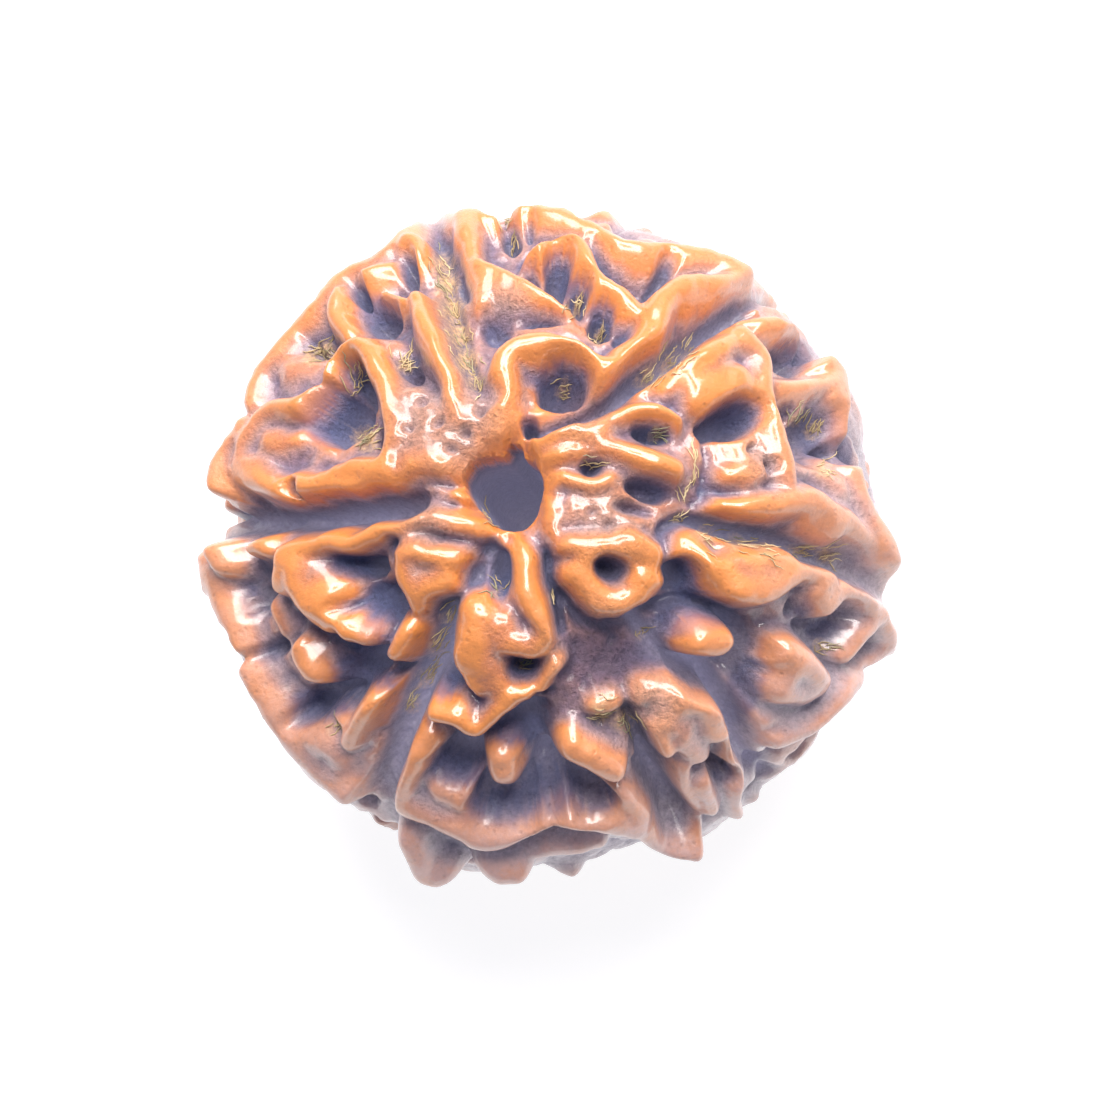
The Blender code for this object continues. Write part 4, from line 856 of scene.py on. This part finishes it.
def nearSpots(x, y, spots):
    # full in the middle of each spot of the photo and fading over its reach
    field = np.zeros(len(x))
    for spotX, spotY, reach, share in spots:
        field = np.maximum(field, share * np.exp(-((x - spotX) ** 2 + (y - spotY) ** 2) / reach ** 2))
    return field


def cleftDustAndLight(surface, level):
    # dust along the floors of the clefts, pale so that it also lifts their shade: partly real dust, partly
    # painted light
    reach, depth, growth, most = woodLook["dustAndLightFrom"]
    dustAndPaintedLight = np.zeros(len(level))
    for halfWidth, knots in list(stone["clefts"].values()) + [stone["fold"]]:
        gap, _ = offLine(surface, *traced(knots, stone["cleftLips"]))
        dustAndPaintedLight = np.maximum(dustAndPaintedLight, np.clip(reach - gap / halfWidth, 0, 1))
    return dustAndPaintedLight * np.clip((-depth - level) * growth, 0, most)


def pitShadeMask(x, y, level):
    # painted shade in the ovals of the pits as the photo shows them, darker in the deeper ones
    fullFloor, end = woodLook["pitShadeFull"]
    paintedPitShade = np.zeros(len(x))
    for pitX, pitY, halfWidth, halfHeight, turn, floor in stone["pits"] + woodLook["shadedHollows"]:
        turn = math.radians(turn)
        across = ((x - pitX) * math.cos(turn) - (y - pitY) * math.sin(turn)) / halfWidth
        along = ((x - pitX) * math.sin(turn) + (y - pitY) * math.cos(turn)) / halfHeight
        inside = np.clip((1.1 - np.hypot(across, along)) * 3, 0, 1)
        paintedPitShade = np.maximum(paintedPitShade, min(1.0, floor / fullFloor) * inside)
    return woodLook["paintedPitShade"][1] * paintedPitShade * np.clip(end - level, 0, 1)


def paintedLightOnSides(ways):
    # painted reflection and light on the sides: grows down the sides
    share, (start, full) = woodLook["paintedSideLight"][1], woodLook["sideLightPolar"]
    slope, least, most = woodLook["sideLightLower"]
    polar = np.degrees(np.arccos(ways[:, 2]))
    sideLight = share * np.clip((polar - start) / (full - start), 0, 1)
    return np.minimum(sideLight * np.clip(1 - slope * ways[:, 1], least, most), share)


def markStone(mesh):
    # the attributes that the wood's colours follow
    points = np.empty(len(mesh.vertices) * 3)
    mesh.vertices.foreach_get("co", points)
    points = points.reshape(-1, 3) / mm - middle
    distance = np.linalg.norm(points, axis=1)
    ways = points / distance[:, None]
    surface = onSkin(ways)
    level = distance - np.linalg.norm(surface, axis=1) - rimSwell(ways)
    x, y = photoPixels(points)
    facing = np.clip(cosineToView(points) * 4, 0, 1)
    fibrous = [(spotX, spotY, woodLook["fibreReach"] * reach, min(1.0, count / 10))
               for spotX, spotY, reach, count, _ in fibreSpots]
    marks = {
        "level": level,
        # how far a place stands over its surroundings; the colours darken with it in creases, partly painted
        # shade
        "cavity": level - surroundings(mesh, level),
        "fibre": nearSpots(x, y, fibrous) * facing,
        # dust on the cleft floors, partly painted light; it also weights the painted glow
        "dustAndPaintedLight": cleftDustAndLight(surface, level),
        # painted reflection and light on the sides
        "sideLight": paintedLightOnSides(ways),
        "rugged": nearSpots(x, y, [(*place, 1.0) for place in ruggedSpots]) * facing,
        # painted shade in the pits
        "paintedPitShade": pitShadeMask(x, y, level) * facing,
    }
    for name, values in marks.items():
        attribute = mesh.attributes.new(name, "FLOAT", "POINT")
        attribute.data.foreach_set("value", values.astype(np.float32))


def stoneMesh():
    quick = 0
    shape = bmesh.new()
    bmesh.ops.create_icosphere(shape, subdivisions=stone["subdivisions"][quick], radius=1.0)
    ways = np.array([vert.co for vert in shape.verts])
    ways /= np.linalg.norm(ways, axis=1)[:, None]
    surface = onSkin(ways)
    uneven = sum(depth * ripple(surface, wavelength, seed) for depth, wavelength, seed in stone["uneven"])
    reach = relief(ways)
    rise = reach - np.linalg.norm(surface, axis=1) - rimSwell(ways)
    reach -= np.clip(1.0 - rise, *stone["unevenShare"]) * np.abs(uneven)
    for vert, point in zip(shape.verts, ways * reach[:, None]):
        vert.co = point
    for _ in range(stone["smoothing"][quick]):
        bmesh.ops.smooth_vert(shape, verts=shape.verts, factor=0.5,
                              use_axis_x=True, use_axis_y=True, use_axis_z=True)
    bmesh.ops.translate(shape, verts=shape.verts, vec=middle)
    for vert in shape.verts:
        vert.co.z = max(vert.co.z, 0.0)
    bmesh.ops.scale(shape, verts=shape.verts, vec=(mm, mm, mm))
    return meshOf("rudrakshaStone", shape)


# The hole: its cutter's sides, length and rings of points, the lower mouth's radius and the waist's share
bore = {"sides": 72, "length": 24, "rings": (-7.0, -4.0, 0.0, 4.0, 6.0), "lower": 1.1, "waist": 0.85}


def boreCutter():
    # three-cornered with a notch above, round below, narrower in the middle
    shape = bmesh.new()
    bmesh.ops.create_cone(shape, cap_ends=True, segments=bore["sides"], radius1=1.0, radius2=1.0,
                          depth=bore["length"])
    for height in bore["rings"]:
        bmesh.ops.bisect_plane(shape, geom=shape.verts[:] + shape.edges[:] + shape.faces[:],
                               plane_co=(0, 0, height), plane_no=(0, 0, 1))
    for vert in shape.verts:
        share = min(max(vert.co.z / stone["height"], -1), 1)
        upper = mouthRadius(math.atan2(vert.co.y, vert.co.x))
        radius = bore["lower"] + (upper - bore["lower"]) * (share + 1) / 2
        radius *= bore["waist"] + (1 - bore["waist"]) * share ** 2
        vert.co.x *= radius
        vert.co.y *= radius
    bmesh.ops.translate(shape, verts=shape.verts, vec=middle)
    bmesh.ops.scale(shape, verts=shape.verts, vec=(mm, mm, mm))
    return inScene("bore", meshOf("bore", shape))


def finishedMesh(piece):
    # the piece's mesh with its modifiers or its bevel in it
    return bpy.data.meshes.new_from_object(piece.evaluated_get(bpy.context.evaluated_depsgraph_get()))


def dress(mesh, material):
    mesh.shade_smooth()
    mesh.materials.clear()
    mesh.materials.append(material)


def makeStone():
    bead = inScene("rudrakshaStone", stoneMesh())
    cutter = boreCutter()
    thin = bead.modifiers.new("thin", "DECIMATE")
    thin.ratio = min(1.0, stone["triangles"] / len(bead.data.polygons))
    hole = bead.modifiers.new("hole", "BOOLEAN")
    hole.operation = "DIFFERENCE"
    hole.solver = "EXACT"
    hole.object = cutter
    finished = finishedMesh(bead)
    bead.modifiers.clear()
    bead.data = finished
    bpy.data.objects.remove(cutter)
    markStone(finished)
    dress(finished, oiledWoodMaterial())
    print("stone", len(finished.polygons), "faces")
    return bead


bead = makeStone()
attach(bead, "root")
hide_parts("rudraksha_bead")


# Dry fibres left in the clefts and pits by the fruit's flesh
fibres = {
    "seed": 21,
    "halfWidth": 0.02,        # millimetres
    "widths": (0.5, 1.0, 1.0, 0.8, 0.3),  # shares of it, from point to point
    "lengths": (0.3, 0.85),
    "lift": 0.03,             # how far they stand off the wood
    "liftShare": (0.3, 2.5),
    "crook": 0.35,
    "scatter": 0.5,           # of a spot's reach
    "lieSpread": 25,          # degrees
    "colours": [(0.3, "#9c9a7c"), (0.5, "#c9b283"), (0.7, "#ecdcae")],
    "patchMm": 1.2,
    "roughness": 0.6,
    "unseenCount": 500,
    "unseenLevel": -0.9,      # on the sides they lie where the relief is lower than this,
    "unseenOffAxis": 2.5,     # away from the hole
    "unseenDepth": 2.0,       # and no further towards the photo's view than this
}


def fibrePath(skin, start, way, length, rng):
    # feels its way over the wood from start, a little crooked
    path = []
    here = start
    steps = len(fibres["widths"])
    for _ in range(steps):
        near, normal, _, _ = skin.find_nearest(here)
        path.append(near + normal * fibres["lift"] * mm * rng.uniform(*fibres["liftShare"]))
        way = (way - normal * way.dot(normal)).normalized()
        crook = normal.cross(way) * rng.normal() * fibres["crook"]
        here = near + (way + crook) * length / steps
    return path


def dryFibreMaterial():
    # plant fibre dried to straw: matt, tan to yellow from one fibre to the next
    material, tree, shader = newMaterial("dried plant fibre")
    place = addNode(tree, "ShaderNodeTexCoord").outputs["Object"]
    patch = addNode(tree, "ShaderNodeTexNoise", {"Scale": 1 / (fibres["patchMm"] * mm), "Detail": 1.0},
                    {"Vector": place})
    hue = addNode(tree, "ShaderNodeValToRGB", {}, {"Fac": patch.outputs["Fac"]})
    fillRamp(hue, fibres["colours"])
    tree.links.new(hue.outputs["Color"], shader.inputs["Base Color"])
    give(shader, {"Roughness": fibres["roughness"]})
    return material


def seenStarts(skin, rng):
    # where the photo shows fibres, and which way they lie
    origin = Vector((eye + middle) * mm)
    starts = []
    for x, y, reach, count, lie in fibreSpots:
        for _ in range(count):
            offX, offY = rng.normal(size=2) * reach * fibres["scatter"]
            hit = skin.ray_cast(origin, Vector(photoRay(x + offX, y + offY)).normalized())[0]
            angle = math.radians(lie + rng.normal() * fibres["lieSpread"])
            if hit is not None:
                starts.append((hit, Vector(math.cos(angle) * right + math.sin(angle) * up)))
    return starts


def unseenStarts(bead, verts, wanted, rng):
    # a thin scatter in the low places that the photo doesn't show
    level = bead.data.attributes["level"].data
    starts = []
    for index in rng.integers(0, len(verts), 40 * fibres["unseenCount"]):
        place = verts[int(index)].co
        if len(starts) >= wanted:
            break
        low = level[int(index)].value < fibres["unseenLevel"]
        offAxis = math.hypot(place.x, place.y) / mm > fibres["unseenOffAxis"]
        if low and offAxis and place.dot(Vector(back)) < fibres["unseenDepth"] * mm:
            starts.append((place.copy(), Vector(rng.normal(size=3))))
    return starts


def layFibres(bead):
    rng = np.random.default_rng(fibres["seed"])
    shape = bmesh.new()
    shape.from_mesh(bead.data)
    shape.verts.ensure_lookup_table()
    skin = BVHTree.FromBMesh(shape)
    starts = seenStarts(skin, rng)
    wanted = fibres["unseenCount"] + sum(count for _, _, _, count, _ in fibreSpots) - len(starts)
    starts += unseenStarts(bead, shape.verts, wanted, rng)
    curve = bpy.data.curves.new("dryFibres", "CURVE")
    curve.dimensions = "3D"
    curve.bevel_depth = fibres["halfWidth"] * mm
    curve.bevel_resolution = 0
    curve.use_fill_caps = True
    for start, way in starts:
        path = fibrePath(skin, start, way, rng.uniform(*fibres["lengths"]) * mm, rng)
        spline = curve.splines.new("POLY")
        spline.points.add(len(path) - 1)
        for point, place, width in zip(spline.points, path, fibres["widths"]):
            point.co = (*place, 1.0)
            point.radius = width
    shape.free()
    soft = inScene("dryFibres", curve)
    mesh = finishedMesh(soft)
    bpy.data.objects.remove(soft)
    dress(mesh, dryFibreMaterial())
    print("fibres", len(starts), "with", len(mesh.polygons), "faces")
    return inScene("dryFibres", mesh)


dryFibres = layFibres(bead)
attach(dryFibres, "root")


# The stage

# Paper that glows a little, so that it stays white round the bead; its radius is in metres
floorLook = {"radius": 1.2, "colour": "#9a9a9a", "roughness": 0.9, "glow": 0.85}


def paleFloor():
    shape = bmesh.new()
    bmesh.ops.create_circle(shape, cap_ends=True, segments=96, radius=floorLook["radius"])
    mesh = meshOf("paleFloor", shape)
    material, _, shader = newMaterial("matt white paper")
    give(shader, {"Base Color": linear(floorLook["colour"]), "Roughness": floorLook["roughness"],
                  "Emission Color": (1, 1, 1, 1), "Emission Strength": floorLook["glow"]})
    mesh.materials.append(material)
    return inScene("paleFloor", mesh)


# In metres; a lamp stands off the bead by its height towards the camera and by toTop to the photo's top
lamps = {
    "soft": {"width": 0.3, "depth": 0.16, "height": 0.16, "toTop": 0.26, "strength": 8.0,
             "colour": "#fbeff2"},
    "ring": {"radius": 0.055, "width": 0.045, "height": 0.14, "toTop": 0.11, "strength": 11.0,
             "colour": "#fff8f6"},
    "sky": ("#d4dcff", 0.34),
}


def lampPiece(name, shape, look):
    # puts the lamp's shape in its place, facing the bead, and lights it
    out = Vector(back) * look["height"] + Vector(up) * look["toTop"]
    centre = Vector(middle * mm) + out
    shape.transform(Matrix.Translation(centre) @ out.to_track_quat("Z", "Y").to_matrix().to_4x4())
    mesh = meshOf(name, shape)
    material, _, shader = newMaterial(name + " glow")
    give(shader, {"Base Color": (0, 0, 0, 1), "Emission Color": linear(look["colour"]),
                  "Emission Strength": look["strength"]})
    mesh.materials.append(material)
    return inScene(name, mesh)


def ringLamp():
    # a round lamp over the bead: its light comes back from the crests as loops and double lines
    ring = lamps["ring"]
    shape = bmesh.new()
    for side in (0.5, -0.5):
        bmesh.ops.create_circle(shape, segments=64, radius=ring["radius"] + side * ring["width"])
    bmesh.ops.bridge_loops(shape, edges=shape.edges[:])
    return lampPiece("ringLamp", shape, ring)


def softLamp():
    # a wide soft lamp on the side of the photo's top edge, whose sheen lies on what leans that way
    soft = lamps["soft"]
    shape = bmesh.new()
    bmesh.ops.create_grid(shape, x_segments=1, y_segments=1, size=0.5)
    bmesh.ops.scale(shape, verts=shape.verts, vec=(soft["width"], soft["depth"], 1))
    return lampPiece("softLamp", shape, soft)


def softSky():
    world = bpy.data.worlds.new("softSky")
    world.use_nodes = True
    colour, strength = lamps["sky"]
    background = world.node_tree.nodes["Background"]
    background.inputs["Color"].default_value = linear(colour)
    background.inputs["Strength"].default_value = strength
    bpy.context.scene.world = world


floor = paleFloor()
ringLamp()
softLamp()
softSky()


def photoCamera():
    data = bpy.data.cameras.new("photoCamera")
    data.sensor_width = view["sensor"]
    data.lens = data.sensor_width * view["distance"] * view["pixelsPerMm"] / view["photoSize"]
    data.clip_start, data.clip_end = view["clip"]
    camera = inScene("photoCamera", data)
    place = (eye + middle) * mm
    rows = [(*row, at) for row, at in zip(zip(right, up, back), place)]
    camera.matrix_world = Matrix(rows + [(0, 0, 0, 1)])
    bpy.context.scene.camera = camera


photoCamera()
# keeps the floor white and the wood's orange full
bpy.context.scene.view_settings.view_transform = "Standard"
print("stage done")
